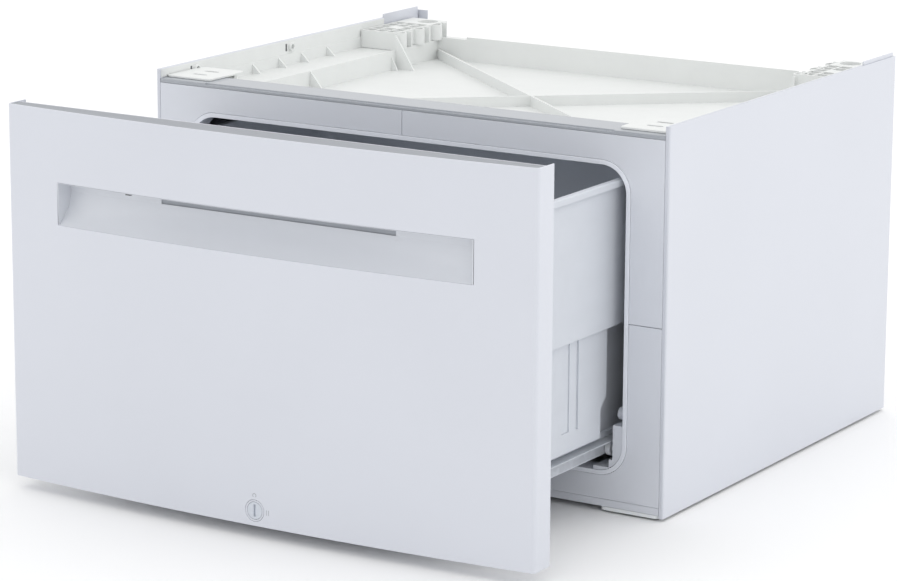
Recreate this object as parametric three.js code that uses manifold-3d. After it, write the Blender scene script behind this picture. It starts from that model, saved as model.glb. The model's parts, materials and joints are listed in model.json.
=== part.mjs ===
// A laundry pedestal: a low steel cabinet that a washing machine stands on, with one wide drawer
// that pulls out on roller slides. Millimetres, +X to the right, +Y to the back, +Z up.
// Every sub-part is its own mesh; the moving ones sit in groups placed where they pivot or slide.
import * as THREE from 'three';
import { mergeVertices } from 'three/addons/utils/BufferGeometryUtils.js';
import Module from 'manifold-3d';

const wasm = await Module();
wasm.setup();

// ---------------------------------------------------------------- driving dimensions, overall
const cabinetWidth = 600;
const cabinetDepth = 500;
const panelHeight = 385;
const floorGap = 3; // from the floor to the lower edge of the side panels
const drawerOpening = 215; // how far the drawer stands out at rest

// ---------------------------------------------------------------- clearances and sheet thicknesses
const gap = 0.3; // between two pieces that touch or fit into each other
const seam = 0.6; // visible joint between two front covers
const sheet = 1.2; // cabinet sheet steel
const railSheet = 1.4; // frame rails and drawer slides
const moulding = 2.4; // wall of the plastic mouldings
const railEndGap = 0.4; // from the frame rails' ends to the folded panel edges
const overcut = 1; // how far a cutter runs past the piece, and a joined feature into it
const fineSegments = 28; // sides of the larger rounds
const smallSegments = 20; // sides of the smaller rounds

// ---------------------------------------------------------------- cabinet shell and frame
const panelFold = 4.7; // width of the folded front edge of a side panel
const foldReturn = 14; // how far that fold turns back inside
const foldRadius = 2;
const rearFlange = 15;
const tabLength = 72; // raised tab at the rear of each side
const tabRise = 4;
const tabSheet = 1.6;
const tabHeight = 52;
const baseRailLift = 3; // side panel edge to the underside of the base rails
const baseRailDepth = 44.7;
const baseWebHeight = 30;
const sideRailWidth = 30;
const topFlangeDrop = 9.2; // side panel edge to the top flange of the front rail
const topFlangeDepth = 40;
const topLipHeight = 4.2;
const topRailWall = 3;
const topWebHeight = 22.5;
const topRebateInset = 61; // from the cabinet's side to the end of the rebate
const topRebateHeight = 1.7;
const postWidth = 30;
const postDepth = 30;
const postSheet = 1.5;
const shoeThickness = 3.5;
const shoeLength = 65.5;
const shoeWidth = 44;
const padThickness = 2;
const padInset = 2.5;
const footRadius = 6;

// ---------------------------------------------------------------- front covers and opening liner
const coverThickness = 2.7;
const coverBottom = 10.5; // above the side panel's lower edge
const coverSplitHeight = 188.6; // side seam, above the side panel's lower edge
const openingSideMargin = 46; // cabinet's side to the opening
const openingTopDrop = 43.5; // side panel edge down to the top of the opening
const openingBottomMargin = 39; // side panel's lower edge up to the opening
const openingRadius = 27;
const linerRim = 4.5;
const linerProud = 0.6;
const linerDepth = 22;
const linerWall = 2;

// ---------------------------------------------------------------- top tray
const trayFrontGap = 1; // behind the front rail
const trayRearGap = 1.5; // in front of the rear flanges
const trayRecessSideMargin = 55; // cabinet's side to the recess
const trayRecessRearMargin = 42.5; // cabinet's rear face to the recess
const trayFloorDrop = 49; // side panel edge to the underside of the tray floor
const trayWall = 2.5;
const trayShelfDrop = 27; // side panel edge to the side shelves
const trayWallLip = 2; // recess walls above the shelves
const trayRearWallRise = 8;
const trayRearNotch = 3;
const trayRearNotchLength = 38;
const trayRibHeight = 11;
const traySkirtHeight = 12;
const trayGussetSetbacks = [211, 162, 119, 69]; // in front of the rear support
const trayGussetWidth = 11;
const recessGussetLong = { setback: 174, width: 18 };
const recessGussetSmall = { setback: 14, width: 8, drop: 4 }; // drop below the shelf
const supportGussetWidth = 24; // stiffens the wall in front of each rear support

// ---------------------------------------------------------------- corner supports for the machine
const blockSideGap = 0.4; // beside the recess wall
const blockLength = 108;
const blockSetback = 18; // from the rear face of the cabinet
const cupRadius = 11.5;
const cupWall = 2.5;
const cupInset = 2; // from the block's edges to the cup's wall
const cupDepth = 12;
const lugDrop = 3; // block top to the lug's top
const cellColumns = 3;
const cellRows = 5;
const cellWall = 2.2;
const cellDepth = 15;
const bracketWidth = 54;
const bracketLength = 62;
const bracketSetback = 10; // behind the front plane
const bracketCorner = 4;
const bracketPlate = 2;
const bracketSlotLength = 18;
const bracketSlotWidth = 5;

// ---------------------------------------------------------------- slides and rollers
const rollerRadius = 8.5;
const rollerWidth = 6;
const rollerChamfer = 0.8;
const rollerHeight = 60; // roller axis above the side panel's lower edge
const rollerFrontSetback = 14;
const rollerPinRadius = 3;
const rollerHubRadius = 4.5;
const carrierSideGap = 1.7; // drawer slide to the guide bracket
const carrierWidth = 12.2;
const carrierHeight = 15.3;
const carrierFlange = 1.5;
const carrierOverhang = 5; // behind the tub
const carrierRollerInset = 13;
const slideGap = 0.6;
const channelStepOut = 2; // its web stands further out than the guide bracket's face
const channelLipWidth = 7;
const channelRearSetback = 29.9; // from the rear face of the cabinet
const guideThickness = 10.8;
const guideTop = 86; // above the side panel's lower edge
const guideStep = 4;
const guideStepHeight = 8;
const guideSillReach = 4.8; // past the corner of the opening
const guideCornerWall = 0.75; // thinnest wall, where its sill meets the opening's rounded corner
const guideDepth = 33.2;
const pegRadius = 6.3;
const pegHeight = 95.5;
const pegDome = 2;
const pegDomeSteps = 4;

// ---------------------------------------------------------------- drawer front
const frontSideGap = 0.5; // drawer front inside the cabinet's width, each side
const frontBottom = 10; // above the side panel's lower edge
const frontWrap = 28; // depth of the folded sides
const frontBow = 14; // how far the middle of the face stands forward
const frontSheet = 1.5;
const frontBendRadius = 4;
const frontCapThickness = 1.8;
const frontCapDrop = 0.8;
const innerPanelSetback = 9.2; // its rear face in front of the sides' rear edge
const innerPanelSheet = 1.5;

// ---------------------------------------------------------------- grip recess
const gripSideMargin = 63.5; // drawer front's side to the recess
const gripTopDrop = 71; // drawer front's top to the recess
const gripHeight = 41.7;
const gripDepth = 19.5;
const gripBackHeight = 30;
const gripWall = 2;
const gripCurve = 0.85; // how full the hollow is, as a share of its depth
const gripFoot = 2.6; // thickness of the hollow's wall at its lower edge
const gripSlotLeft = 126;
const gripSlotRight = 140;
const gripSlotHeight = 9;

// ---------------------------------------------------------------- lock
const lockHeight = 15; // above the drawer front's lower edge
const lockRadius = 8.5;
const lockHousingWall = 1.7;
const lockShaftRadius = 4.4;
const lockStudRadius = 3;
const lockSlotWidth = 2.4;
const lockSlotLength = 12;
const lockSlotDepth = 2;
const camThickness = 2;
const camReach = 15;
const camHeight = 9;
const camSetback = 7.5; // behind the rear edge of the drawer front's sides
const camSlotMargin = 1;
const camPassageDepth = 12; // behind the front plane
const camCorner = 2;
const nutRadius = 6;
const nutSides = 6;
const nutThickness = 2.6;

// ---------------------------------------------------------------- tub
const tubSideGap = 13; // opening's side to the tub's upper band
const tubTopGap = 13.5; // opening's top to the tub's rim
const tubRearSetback = 63.9; // from the rear face of the cabinet, when the drawer is shut
const tubRim = 5;
const tubRimHeight = 6.5;
const tubWall = 2.5;
const tubCorner = 18;
const tubStepHeight = 184; // lower end of the smooth upper band
const tubLowerInset = 5;
const tubSkirtLength = 223;
const tubSkirtBottom = 75;
const tubKneeHeight = 104;
const tubKnee = 11;
const tubRearInset = 16;
const tubBottom = 53;
const tubRibStart = 165;
const tubRibWidth = 3;
const tubRibProud = 2;
const tubRibBottom = 95;
const tubGrooveStart = 137;
const tubGrooveWidth = 14;
const tubGrooveDepth = 1.2;
const bumperRadius = 5;
const bumperLength = 10.5;
const bumperSetback = 22.5;
const bumperLowHeight = 57; // above the side panel's lower edge
const bumperHighDrop = 48; // below the drawer front's top

// ---------------------------------------------------------------- derived places
const halfWidth = cabinetWidth / 2;
const panelBottom = floorGap;
const panelTop = panelBottom + panelHeight;
const panelInner = halfWidth - sheet;
const foldInner = halfWidth - panelFold;
const railHalfLength = foldInner - railEndGap;
const baseRailBottom = panelBottom + baseRailLift;
const baseRailTop = baseRailBottom + railSheet;
const topFlangeTop = panelTop - topFlangeDrop;
const coverTop = topFlangeTop - topLipHeight - gap;
const coverLow = panelBottom + coverBottom;
const coverOuter = foldInner - gap;
const coverSplit = panelBottom + coverSplitHeight;
const openingHalfWidth = halfWidth - openingSideMargin;
const openingTop = panelTop - openingTopDrop;
const openingBottom = panelBottom + openingBottomMargin;
const railWebFront = coverThickness + gap;
const postTop = topFlangeTop - topRailWall - gap;
const postFront = railWebFront + railSheet + gap;
const shelfTop = panelTop - trayShelfDrop;
const shelfBottom = shelfTop - trayWall;
const trayFront = topFlangeDepth + trayFrontGap;
const trayRear = cabinetDepth - 2 * sheet - trayRearGap;
const trayBottom = panelTop - trayFloorDrop;
const trayFloor = trayBottom + trayWall;
const trayOuter = panelInner - tabSheet - 2 * gap;
const trayRecessHalfWidth = halfWidth - trayRecessSideMargin;
const recessFront = trayFront + trayWall;
const recessRear = cabinetDepth - trayRecessRearMargin;
const blockTop = topFlangeTop + gap + bracketPlate; // all four supports are level
const blockBase = shelfTop + gap;
const blockOuter = trayOuter - moulding - gap;
const blockInner = trayRecessHalfWidth + trayWall + blockSideGap;
const blockRear = cabinetDepth - blockSetback;
const blockFront = blockRear - blockLength;
const rollerZ = panelBottom + rollerHeight;
const carrierTop = rollerZ + rollerRadius + gap + carrierFlange;
const guideInner = openingHalfWidth - guideThickness;
const carrierOuter = guideInner - carrierSideGap;
const carrierInner = carrierOuter - carrierWidth;
const channelInner = guideInner + channelStepOut;
const channelFront = guideDepth + 3 * gap;
const channelRear = cabinetDepth - channelRearSetback;
const rollerInner = carrierInner + railSheet + gap;
const frontHalfWidth = halfWidth - frontSideGap;
const frontLow = panelBottom + frontBottom;
const frontTop = panelTop; // level with the cabinet's sides
const faceY = -(frontWrap + frontBow);
const bowHalfChord = frontHalfWidth - frontBendRadius;
const bowRadius = (bowHalfChord ** 2 + frontBow ** 2) / (2 * frontBow);
const lockZ = frontLow + lockHeight;
const innerPanelRear = -innerPanelSetback;
const innerPanelFront = innerPanelRear - innerPanelSheet;
const gripHalfWidth = frontHalfWidth - gripSideMargin;
const gripTop = frontTop - gripTopDrop;
const gripLow = gripTop - gripHeight;
const tubHalfWidth = openingHalfWidth - tubSideGap;
const tubKeelHalfWidth = carrierInner - slideGap;
const tubFront = innerPanelRear + gap;
const tubRear = cabinetDepth - tubRearSetback;
const tubRimTop = openingTop - tubTopGap;
const tubStep = panelBottom + tubStepHeight;
const carrierRear = tubRear + carrierOverhang;
const rearRollerY = carrierRear - carrierRollerInset;

// ---------------------------------------------------------------- finishes
const finishes = {
  paintedWhite: { color: 0xe2e6ee, roughness: 0.3, metalness: 0 },
  coverWhite: { color: 0xc9cdd8, roughness: 0.4, metalness: 0 },
  railGrey: { color: 0xbfc4c9, roughness: 0.5, metalness: 0 },
  capGrey: { color: 0x9a9ea6, roughness: 0.5, metalness: 0 },
  trayWhite: { color: 0xf4f4f2, roughness: 0.55, metalness: 0 },
  tubGrey: { color: 0xd3d7dd, roughness: 0.5, metalness: 0 },
  zincSteel: { color: 0xb9bdc2, roughness: 0.4, metalness: 0.8 },
  bracketWhite: { color: 0xdfe3e8, roughness: 0.5, metalness: 0 },
  rollerWhite: { color: 0xe9ebee, roughness: 0.4, metalness: 0 },
  shoeGrey: { color: 0xb4b9b9, roughness: 0.6, metalness: 0 },
  rubberGrey: { color: 0x7d8282, roughness: 0.9, metalness: 0 },
  lockGrey: { color: 0xc6cbd3, roughness: 0.35, metalness: 0.1 },
};

// ---------------------------------------------------------------- shape helpers
function toSolid(geometry) {
  const bare = geometry.clone();
  bare.deleteAttribute('normal');
  bare.deleteAttribute('uv');
  const merged = mergeVertices(bare, 1e-4);
  return new wasm.Manifold(new wasm.Mesh({
    numProp: 3,
    vertProperties: new Float32Array(merged.attributes.position.array),
    triVerts: new Uint32Array(merged.index.array),
  }));
}

function toGeometry(solid) {
  const mesh = solid.getMesh();
  const geometry = new THREE.BufferGeometry();
  geometry.setAttribute('position', new THREE.BufferAttribute(new Float32Array(mesh.vertProperties), 3));
  geometry.setIndex(new THREE.BufferAttribute(new Uint32Array(mesh.triVerts), 1));
  geometry.computeVertexNormals();
  return geometry;
}

function mirrored(geometry) {
  const copy = geometry.clone();
  copy.scale(-1, 1, 1);
  const order = copy.index.array;
  for (let i = 0; i < order.length; i += 3) {
    const first = order[i];
    order[i] = order[i + 2];
    order[i + 2] = first;
  }
  copy.computeVertexNormals();
  return copy;
}

function block([x0, x1], [y0, y1], [z0, z1]) {
  const geometry = new THREE.BoxGeometry(x1 - x0, y1 - y0, z1 - z0);
  geometry.translate((x0 + x1) / 2, (y0 + y1) / 2, (z0 + z1) / 2);
  return toSolid(geometry);
}

function polygon(points) {
  return new THREE.Shape(points.map(([u, v]) => new THREE.Vector2(u, v)));
}

function roundedRect(u0, u1, v0, v1, radius) {
  const shape = new THREE.Shape();
  shape.moveTo(u0 + radius, v0);
  shape.lineTo(u1 - radius, v0);
  shape.absarc(u1 - radius, v0 + radius, radius, -Math.PI / 2, 0);
  shape.lineTo(u1, v1 - radius);
  shape.absarc(u1 - radius, v1 - radius, radius, 0, Math.PI / 2);
  shape.lineTo(u0 + radius, v1);
  shape.absarc(u0 + radius, v1 - radius, radius, Math.PI / 2, Math.PI);
  shape.lineTo(u0, v0 + radius);
  shape.absarc(u0 + radius, v0 + radius, radius, Math.PI, 1.5 * Math.PI);
  return shape;
}

// A prism's outline is drawn in the two axes that it isn't extruded along.
function prismGeometry(shape, axis, [from, to], steps = 1, curveSegments = 8) {
  const depth = to - from;
  const geometry = new THREE.ExtrudeGeometry(shape, { depth, steps, curveSegments, bevelEnabled: false });
  const turn = new THREE.Matrix4();
  if (axis === 'x') {
    turn.makeBasis(new THREE.Vector3(0, 1, 0), new THREE.Vector3(0, 0, 1), new THREE.Vector3(1, 0, 0));
    turn.setPosition(from, 0, 0);
  } else if (axis === 'y') {
    turn.makeBasis(new THREE.Vector3(1, 0, 0), new THREE.Vector3(0, 0, 1), new THREE.Vector3(0, -1, 0));
    turn.setPosition(0, to, 0);
  } else {
    turn.setPosition(0, 0, from);
  }
  geometry.applyMatrix4(turn);
  return geometry;
}

function prism(shape, axis, range, curveSegments = 8) {
  return toSolid(prismGeometry(shape, axis, range, 1, curveSegments));
}

function rodX(radius, [x0, x1], y, z, segments = 24) {
  const geometry = new THREE.CylinderGeometry(radius, radius, x1 - x0, segments);
  geometry.rotateZ(Math.PI / 2);
  geometry.translate((x0 + x1) / 2, y, z);
  return toSolid(geometry);
}

function rodY(radius, [y0, y1], x, z, segments = 24) {
  const geometry = new THREE.CylinderGeometry(radius, radius, y1 - y0, segments);
  geometry.translate(x, (y0 + y1) / 2, z);
  return toSolid(geometry);
}

function rodZ(radius, [z0, z1], x, y, segments = 24) {
  const geometry = new THREE.CylinderGeometry(radius, radius, z1 - z0, segments);
  geometry.rotateX(Math.PI / 2);
  geometry.translate(x, y, (z0 + z1) / 2);
  return toSolid(geometry);
}

// ---------------------------------------------------------------- scene helpers
function addPart(group, name, geometry, finish) {
  const mesh = new THREE.Mesh(geometry, new THREE.MeshStandardMaterial(finishes[finish]));
  mesh.name = name;
  group.add(mesh);
  return mesh;
}

function addSolid(group, name, solid, finish) {
  return addPart(group, name, toGeometry(solid), finish);
}

// The right-hand piece is modelled; the left-hand one is its mirror image.
function addPair(group, name, solid, finish) {
  const right = toGeometry(solid);
  addPart(group, `${name}_right`, right, finish);
  addPart(group, `${name}_left`, mirrored(right), finish);
}

// ---------------------------------------------------------------- cabinet shell
function sidePanel() {
  const rearEdge = cabinetDepth;
  const outline = new THREE.Shape();
  outline.moveTo(halfWidth, rearEdge);
  outline.lineTo(halfWidth - rearFlange, rearEdge);
  outline.lineTo(halfWidth - rearFlange, rearEdge - sheet);
  outline.lineTo(panelInner, rearEdge - sheet);
  outline.lineTo(panelInner, sheet);
  outline.lineTo(foldInner + sheet, sheet);
  outline.lineTo(foldInner + sheet, foldReturn);
  outline.lineTo(foldInner, foldReturn);
  outline.lineTo(foldInner, 0);
  outline.lineTo(halfWidth - foldRadius, 0);
  outline.absarc(halfWidth - foldRadius, foldRadius, foldRadius, -Math.PI / 2, 0);
  const skin = prism(outline, 'z', [panelBottom, panelTop], 5);
  const hemRear = cabinetDepth - tabLength - 2 * moulding;
  const hemX = [foldInner, halfWidth - foldRadius];
  return skin.add(block(hemX, [sheet / 2, hemRear], [panelTop - sheet, panelTop]));
}

function rearPanel() {
  const edge = panelInner - gap;
  const front = cabinetDepth - sheet - gap - sheet;
  return block([-edge, edge], [front, front + sheet], [baseRailTop + gap, shelfBottom - gap]);
}

function stopTab() {
  const rear = cabinetDepth - 2 * sheet - 2 * gap - gap;
  const outer = panelInner - gap;
  const top = panelTop + tabRise;
  return block([outer - tabSheet, outer], [rear - tabLength, rear], [top - tabHeight, top]);
}

// ---------------------------------------------------------------- cabinet frame
function lockPassage() {
  const low = lockZ - camHeight / 2 - camSlotMargin;
  const high = lockZ + camHeight / 2 + camSlotMargin;
  const width = [-camHeight - camSlotMargin, camReach + 3 * camSlotMargin];
  return block(width, [-overcut, camPassageDepth], [low, high]);
}

function frontBottomRail() {
  const stripTop = coverLow - gap;
  const section = polygon([
    [gap, baseRailBottom],
    [baseRailDepth, baseRailBottom],
    [baseRailDepth, baseRailTop],
    [railWebFront + railSheet, baseRailTop],
    [railWebFront + railSheet, baseRailBottom + baseWebHeight],
    [railWebFront, baseRailBottom + baseWebHeight],
    [railWebFront, stripTop],
    [gap, stripTop],
  ]);
  return prism(section, 'x', [-railHalfLength, railHalfLength]).subtract(lockPassage());
}

function rearBottomRail() {
  const rear = cabinetDepth - 2 * sheet - 2 * gap;
  const section = polygon([
    [rear - baseRailDepth, baseRailBottom],
    [rear, baseRailBottom],
    [rear, baseRailBottom + baseWebHeight],
    [rear - railSheet, baseRailBottom + baseWebHeight],
    [rear - railSheet, baseRailTop],
    [rear - baseRailDepth, baseRailTop],
  ]);
  const halfLength = panelInner - gap;
  const rail = prism(section, 'x', [-halfLength, halfLength]);
  const roomForPanel = block([-halfWidth, halfWidth], [rear + gap / 2, cabinetDepth], [0, panelTop]);
  return rail.subtract(roomForPanel);
}

function sideBaseRail() {
  const outer = panelInner - gap;
  const section = polygon([
    [outer - sideRailWidth, baseRailBottom],
    [outer, baseRailBottom],
    [outer, baseRailBottom + baseWebHeight],
    [outer - railSheet, baseRailBottom + baseWebHeight],
    [outer - railSheet, baseRailTop],
    [outer - sideRailWidth, baseRailTop],
  ]);
  const rear = cabinetDepth - 2 * sheet - 2 * gap - baseRailDepth;
  return prism(section, 'y', [baseRailDepth + gap, rear - gap]);
}

function frontTopRail() {
  const underside = topFlangeTop - topRailWall;
  const lipBottom = coverTop + gap;
  const webBottom = lipBottom - topWebHeight;
  const section = polygon([
    [gap, lipBottom],
    [railWebFront, lipBottom],
    [railWebFront, webBottom],
    [railWebFront + railSheet, webBottom],
    [railWebFront + railSheet, underside],
    [topFlangeDepth - railSheet, underside],
    [topFlangeDepth - railSheet, underside - topRailWall],
    [topFlangeDepth, underside - topRailWall],
    [topFlangeDepth, topFlangeTop],
    [gap, topFlangeTop],
  ]);
  const rail = prism(section, 'x', [-railHalfLength, railHalfLength]);
  const rebateHalf = halfWidth - topRebateInset;
  const rebateZ = [topFlangeTop - topRebateHeight, topFlangeTop + overcut];
  return rail.subtract(block([-rebateHalf, rebateHalf], [-overcut, railWebFront], rebateZ));
}

function cornerPost(front, top) {
  const outer = railHalfLength;
  const inner = outer - postWidth;
  const rear = front + postDepth;
  const section = polygon([
    [inner, front],
    [outer, front],
    [outer, rear],
    [outer - postSheet, rear],
    [outer - postSheet, front + postSheet],
    [inner + postSheet, front + postSheet],
    [inner + postSheet, rear],
    [inner, rear],
  ]);
  return prism(section, 'z', [baseRailTop + gap, top]);
}

function footSlab(inset, [z0, z1], front) {
  const outer = railHalfLength - inset;
  const inner = railHalfLength - shoeLength + inset;
  const shape = roundedRect(inner, outer, front + inset, front + shoeWidth - inset, footRadius);
  return prism(shape, 'z', [z0, z1], 4);
}

// ---------------------------------------------------------------- front covers and liner
function openingShape(grow) {
  const half = openingHalfWidth + grow;
  return roundedRect(-half, half, openingBottom - grow, openingTop + grow, openingRadius + grow);
}

function frontCover(side, upper) {
  const xRange = side > 0 ? [seam / 2, coverOuter] : [-coverOuter, -seam / 2];
  const zRange = upper ? [coverSplit + seam / 2, coverTop] : [coverLow, coverSplit - seam / 2];
  const plate = block(xRange, [0, coverThickness], zRange);
  const hole = prism(openingShape(linerRim + gap), 'y', [-overcut, coverThickness + overcut]);
  return plate.subtract(hole).subtract(lockPassage());
}

function openingLiner() {
  const rim = prism(openingShape(linerRim), 'y', [-linerProud, moulding]);
  const sleeve = prism(openingShape(linerWall), 'y', [moulding / 2, linerDepth]);
  const hole = prism(openingShape(0), 'y', [-linerProud - overcut, linerDepth + overcut]);
  return rim.add(sleeve).subtract(hole);
}

// ---------------------------------------------------------------- top tray
function trayGusset(side, y) {
  const wallFace = trayOuter - moulding / 2;
  const tip = trayOuter - moulding - trayGussetWidth;
  const outline = polygon([
    [side * wallFace, shelfTop - trayWall / 2],
    [side * tip, shelfTop - trayWall / 2],
    [side * tip, shelfTop],
    [side * wallFace, shelfTop + trayGussetWidth],
  ]);
  return prism(outline, 'y', [y, y + moulding]);
}

function recessGusset(side, y, width, top) {
  const wallFace = trayRecessHalfWidth + trayWall / 2;
  const root = trayRecessHalfWidth - width;
  const outline = polygon([
    [side * wallFace, trayFloor - trayWall / 2],
    [side * root, trayFloor - trayWall / 2],
    [side * root, trayFloor],
    [side * trayRecessHalfWidth, top],
    [side * wallFace, top],
  ]);
  return prism(outline, 'y', [y, y + moulding]);
}

function trayRib(direction) {
  const halfX = trayRecessHalfWidth;
  const halfY = (recessRear - recessFront) / 2;
  const length = 2 * Math.hypot(halfX, halfY) - 2;
  const rib = new THREE.BoxGeometry(length, moulding, trayRibHeight + trayWall / 2);
  rib.rotateZ(direction * Math.atan2(halfY, halfX));
  rib.translate(0, recessFront + halfY, trayFloor + trayRibHeight / 2 - trayWall / 4);
  return toSolid(rib);
}

function topTray() {
  const outer = [-trayOuter, trayOuter];
  const half = trayRecessHalfWidth;
  const wallHalf = half + trayWall;
  const recessWallTop = shelfTop + trayWallLip;
  const rearWallTop = recessWallTop + trayRearWallRise - trayWallLip;
  const shelf = block(outer, [trayFront, trayRear], [shelfBottom, shelfTop]);
  const inner = [-wallHalf, wallHalf];
  const shell = block(inner, [trayFront, recessRear + trayWall], [trayBottom, recessWallTop]);
  const rearWall = block(inner, [recessRear, recessRear + trayWall], [shelfBottom, rearWallTop]);
  const frontWall = block(outer, [trayFront, recessFront], [shelfBottom, topFlangeTop - topRailWall]);
  const recess = block([-half, half], [recessFront, recessRear], [trayFloor, panelTop + overcut]);
  let tray = shelf.add(shell).add(rearWall).add(frontWall).subtract(recess);
  for (const side of [-1, 1]) {
    const skirtX = side > 0 ? [trayOuter - moulding, trayOuter] : [-trayOuter, moulding - trayOuter];
    const notchStart = half - trayRearNotchLength;
    const notchEnd = wallHalf + overcut;
    const notchX = side > 0 ? [notchStart, notchEnd] : [-notchEnd, -notchStart];
    const notchY = [recessRear - overcut, recessRear + trayWall + overcut];
    const notchZ = [rearWallTop - trayRearNotch, rearWallTop + overcut];
    tray = tray.add(block(skirtX, [trayFront, trayRear], [shelfBottom, shelfTop + traySkirtHeight]));
    tray = tray.subtract(block(notchX, notchY, notchZ));
    for (const setback of trayGussetSetbacks) {
      tray = tray.add(trayGusset(side, blockFront - setback));
    }
    const longY = blockFront - recessGussetLong.setback;
    const smallY = blockFront - recessGussetSmall.setback;
    const supportY = blockFront - 2 * moulding;
    const smallTop = shelfTop - recessGussetSmall.drop;
    tray = tray.add(recessGusset(side, longY, recessGussetLong.width, recessWallTop));
    tray = tray.add(recessGusset(side, smallY, recessGussetSmall.width, smallTop));
    tray = tray.add(recessGusset(side, supportY, supportGussetWidth, blockTop - bracketPlate));
  }
  return tray.add(trayRib(1)).add(trayRib(-1));
}

// ---------------------------------------------------------------- corner supports
function rearSupport() {
  let body = block([blockInner, blockOuter], [blockFront, blockRear], [blockBase, blockTop]);
  const cupX = blockInner + cupRadius + cupWall + cupInset;
  const cupY = blockRear - cupRadius - cupWall - cupInset;
  const cellX = (blockOuter - blockInner - (cellColumns + 1) * cellWall) / cellColumns;
  const cellsLength = blockLength - 2 * (cupRadius + cupWall) - 3 * cellWall;
  const cellY = (cellsLength - (cellRows + 1) * cellWall) / cellRows;
  const middle = [Math.floor(cellColumns / 2), Math.floor(cellRows / 2)];
  for (let i = 0; i < cellColumns; i += 1) {
    for (let j = 0; j < cellRows; j += 1) {
      const x = blockInner + cellWall + i * (cellX + cellWall);
      const y = blockFront + cellWall + j * (cellY + cellWall);
      const isLand = i === middle[0] && j === middle[1];
      if (!isLand) {
        const cellZ = [blockTop - cellDepth, blockTop + overcut];
        body = body.subtract(block([x, x + cellX], [y, y + cellY], cellZ));
      }
    }
  }
  const lugZ = [blockTop - cupDepth, blockTop - lugDrop];
  const lug = rodZ(cupRadius / 2, lugZ, blockInner, blockFront + cupRadius, smallSegments);
  const cup = rodZ(cupRadius, [blockTop - cupDepth, blockTop + overcut], cupX, cupY, fineSegments);
  return body.subtract(cup).add(lug);
}

function frontSupport() {
  const outer = blockOuter;
  const inner = outer - bracketWidth;
  const front = bracketSetback;
  const rear = front + bracketLength;
  const base = topFlangeTop + gap;
  const outline = roundedRect(inner, outer, front, rear, bracketCorner);
  const plate = prism(outline, 'z', [base, base + bracketPlate], 4);
  const legX = [trayRecessHalfWidth + trayWall + gap, outer - moulding];
  const leg = block(legX, [rear - 3 * moulding, rear - moulding], [blockBase, base + bracketPlate / 2]);
  const slotLeft = inner + bracketWidth / 3;
  const half = bracketSlotWidth / 2;
  const slotZ = [base - overcut, base + bracketPlate + overcut];
  let bracket = plate.add(leg);
  for (const y of [front + bracketLength / 3, front + (2 * bracketLength) / 3]) {
    const slot = roundedRect(slotLeft, slotLeft + bracketSlotLength, y - half, y + half, half * 0.99);
    bracket = bracket.subtract(prism(slot, 'z', slotZ, 4));
  }
  return bracket;
}

// ---------------------------------------------------------------- slides, cabinet side
function cabinetChannel() {
  const floor = rollerZ - rollerRadius - gap;
  const ceiling = carrierTop + slideGap;
  const outer = channelInner + railSheet;
  const section = polygon([
    [rollerInner, floor - railSheet],
    [outer, floor - railSheet],
    [outer, ceiling + railSheet],
    [outer - channelLipWidth, ceiling + railSheet],
    [outer - channelLipWidth, ceiling],
    [channelInner, ceiling],
    [channelInner, floor],
    [rollerInner, floor],
  ]);
  return prism(section, 'y', [channelFront, channelRear]);
}

function channelBracket() {
  const rear = channelRear;
  const inner = channelInner + railSheet + gap;
  const outer = railHalfLength - postWidth - gap;
  const front = rear - postDepth;
  const section = polygon([
    [inner, front],
    [inner + railSheet, front],
    [inner + railSheet, rear - railSheet],
    [outer - railSheet, rear - railSheet],
    [outer - railSheet, front],
    [outer, front],
    [outer, rear],
    [inner, rear],
  ]);
  const low = rollerZ - rollerRadius - gap - railSheet;
  return prism(section, 'z', [low, carrierTop + slideGap + railSheet]);
}

function guideBracket() {
  const outer = openingHalfWidth - gap;
  const bottom = openingBottom + gap;
  const arcX = openingHalfWidth - openingRadius;
  const arcZ = openingBottom + openingRadius;
  const sillEnd = arcX - guideSillReach;
  const stepX = guideInner - guideStep;
  const cornerDrop = Math.sqrt((openingRadius - gap) ** 2 - (stepX - arcX) ** 2);
  const sillTop = arcZ - cornerDrop + guideCornerWall;
  const stepTop = sillTop + guideStepHeight;
  const outline = new THREE.Shape();
  outline.moveTo(guideInner, panelBottom + guideTop);
  outline.lineTo(guideInner, stepTop);
  outline.lineTo(stepX, stepTop);
  outline.lineTo(stepX, sillTop);
  outline.lineTo(sillEnd, sillTop);
  outline.lineTo(sillEnd, bottom);
  outline.lineTo(arcX, bottom);
  outline.absarc(arcX, arcZ, openingRadius - gap, -Math.PI / 2, 0);
  outline.lineTo(outer, panelBottom + guideTop);
  const body = prism(outline, 'y', [gap, guideDepth]);
  const hubEnd = rollerInner + rollerWidth + gap;
  const hub = rodX(rollerHubRadius, [hubEnd, guideInner + overcut], rollerFrontSetback, rollerZ);
  const pinX = [rollerInner + gap, hubEnd + overcut];
  const pin = rodX(rollerPinRadius, pinX, rollerFrontSetback, rollerZ);
  return body.add(hub).add(pin);
}

function sidePeg() {
  const length = openingHalfWidth - gap - guideInner;
  const profile = [new THREE.Vector2(0, 0), new THREE.Vector2(pegRadius, 0)];
  for (let i = 0; i <= pegDomeSteps; i += 1) {
    const angle = (i / pegDomeSteps) * (Math.PI / 2);
    const radius = pegRadius - pegDome + pegDome * Math.cos(angle);
    profile.push(new THREE.Vector2(radius, length - pegDome + pegDome * Math.sin(angle)));
  }
  profile.push(new THREE.Vector2(0, length));
  const peg = new THREE.LatheGeometry(profile, 24);
  peg.rotateZ(Math.PI / 2);
  peg.translate(openingHalfWidth - gap, rollerFrontSetback, panelBottom + pegHeight);
  return toSolid(peg);
}

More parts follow.
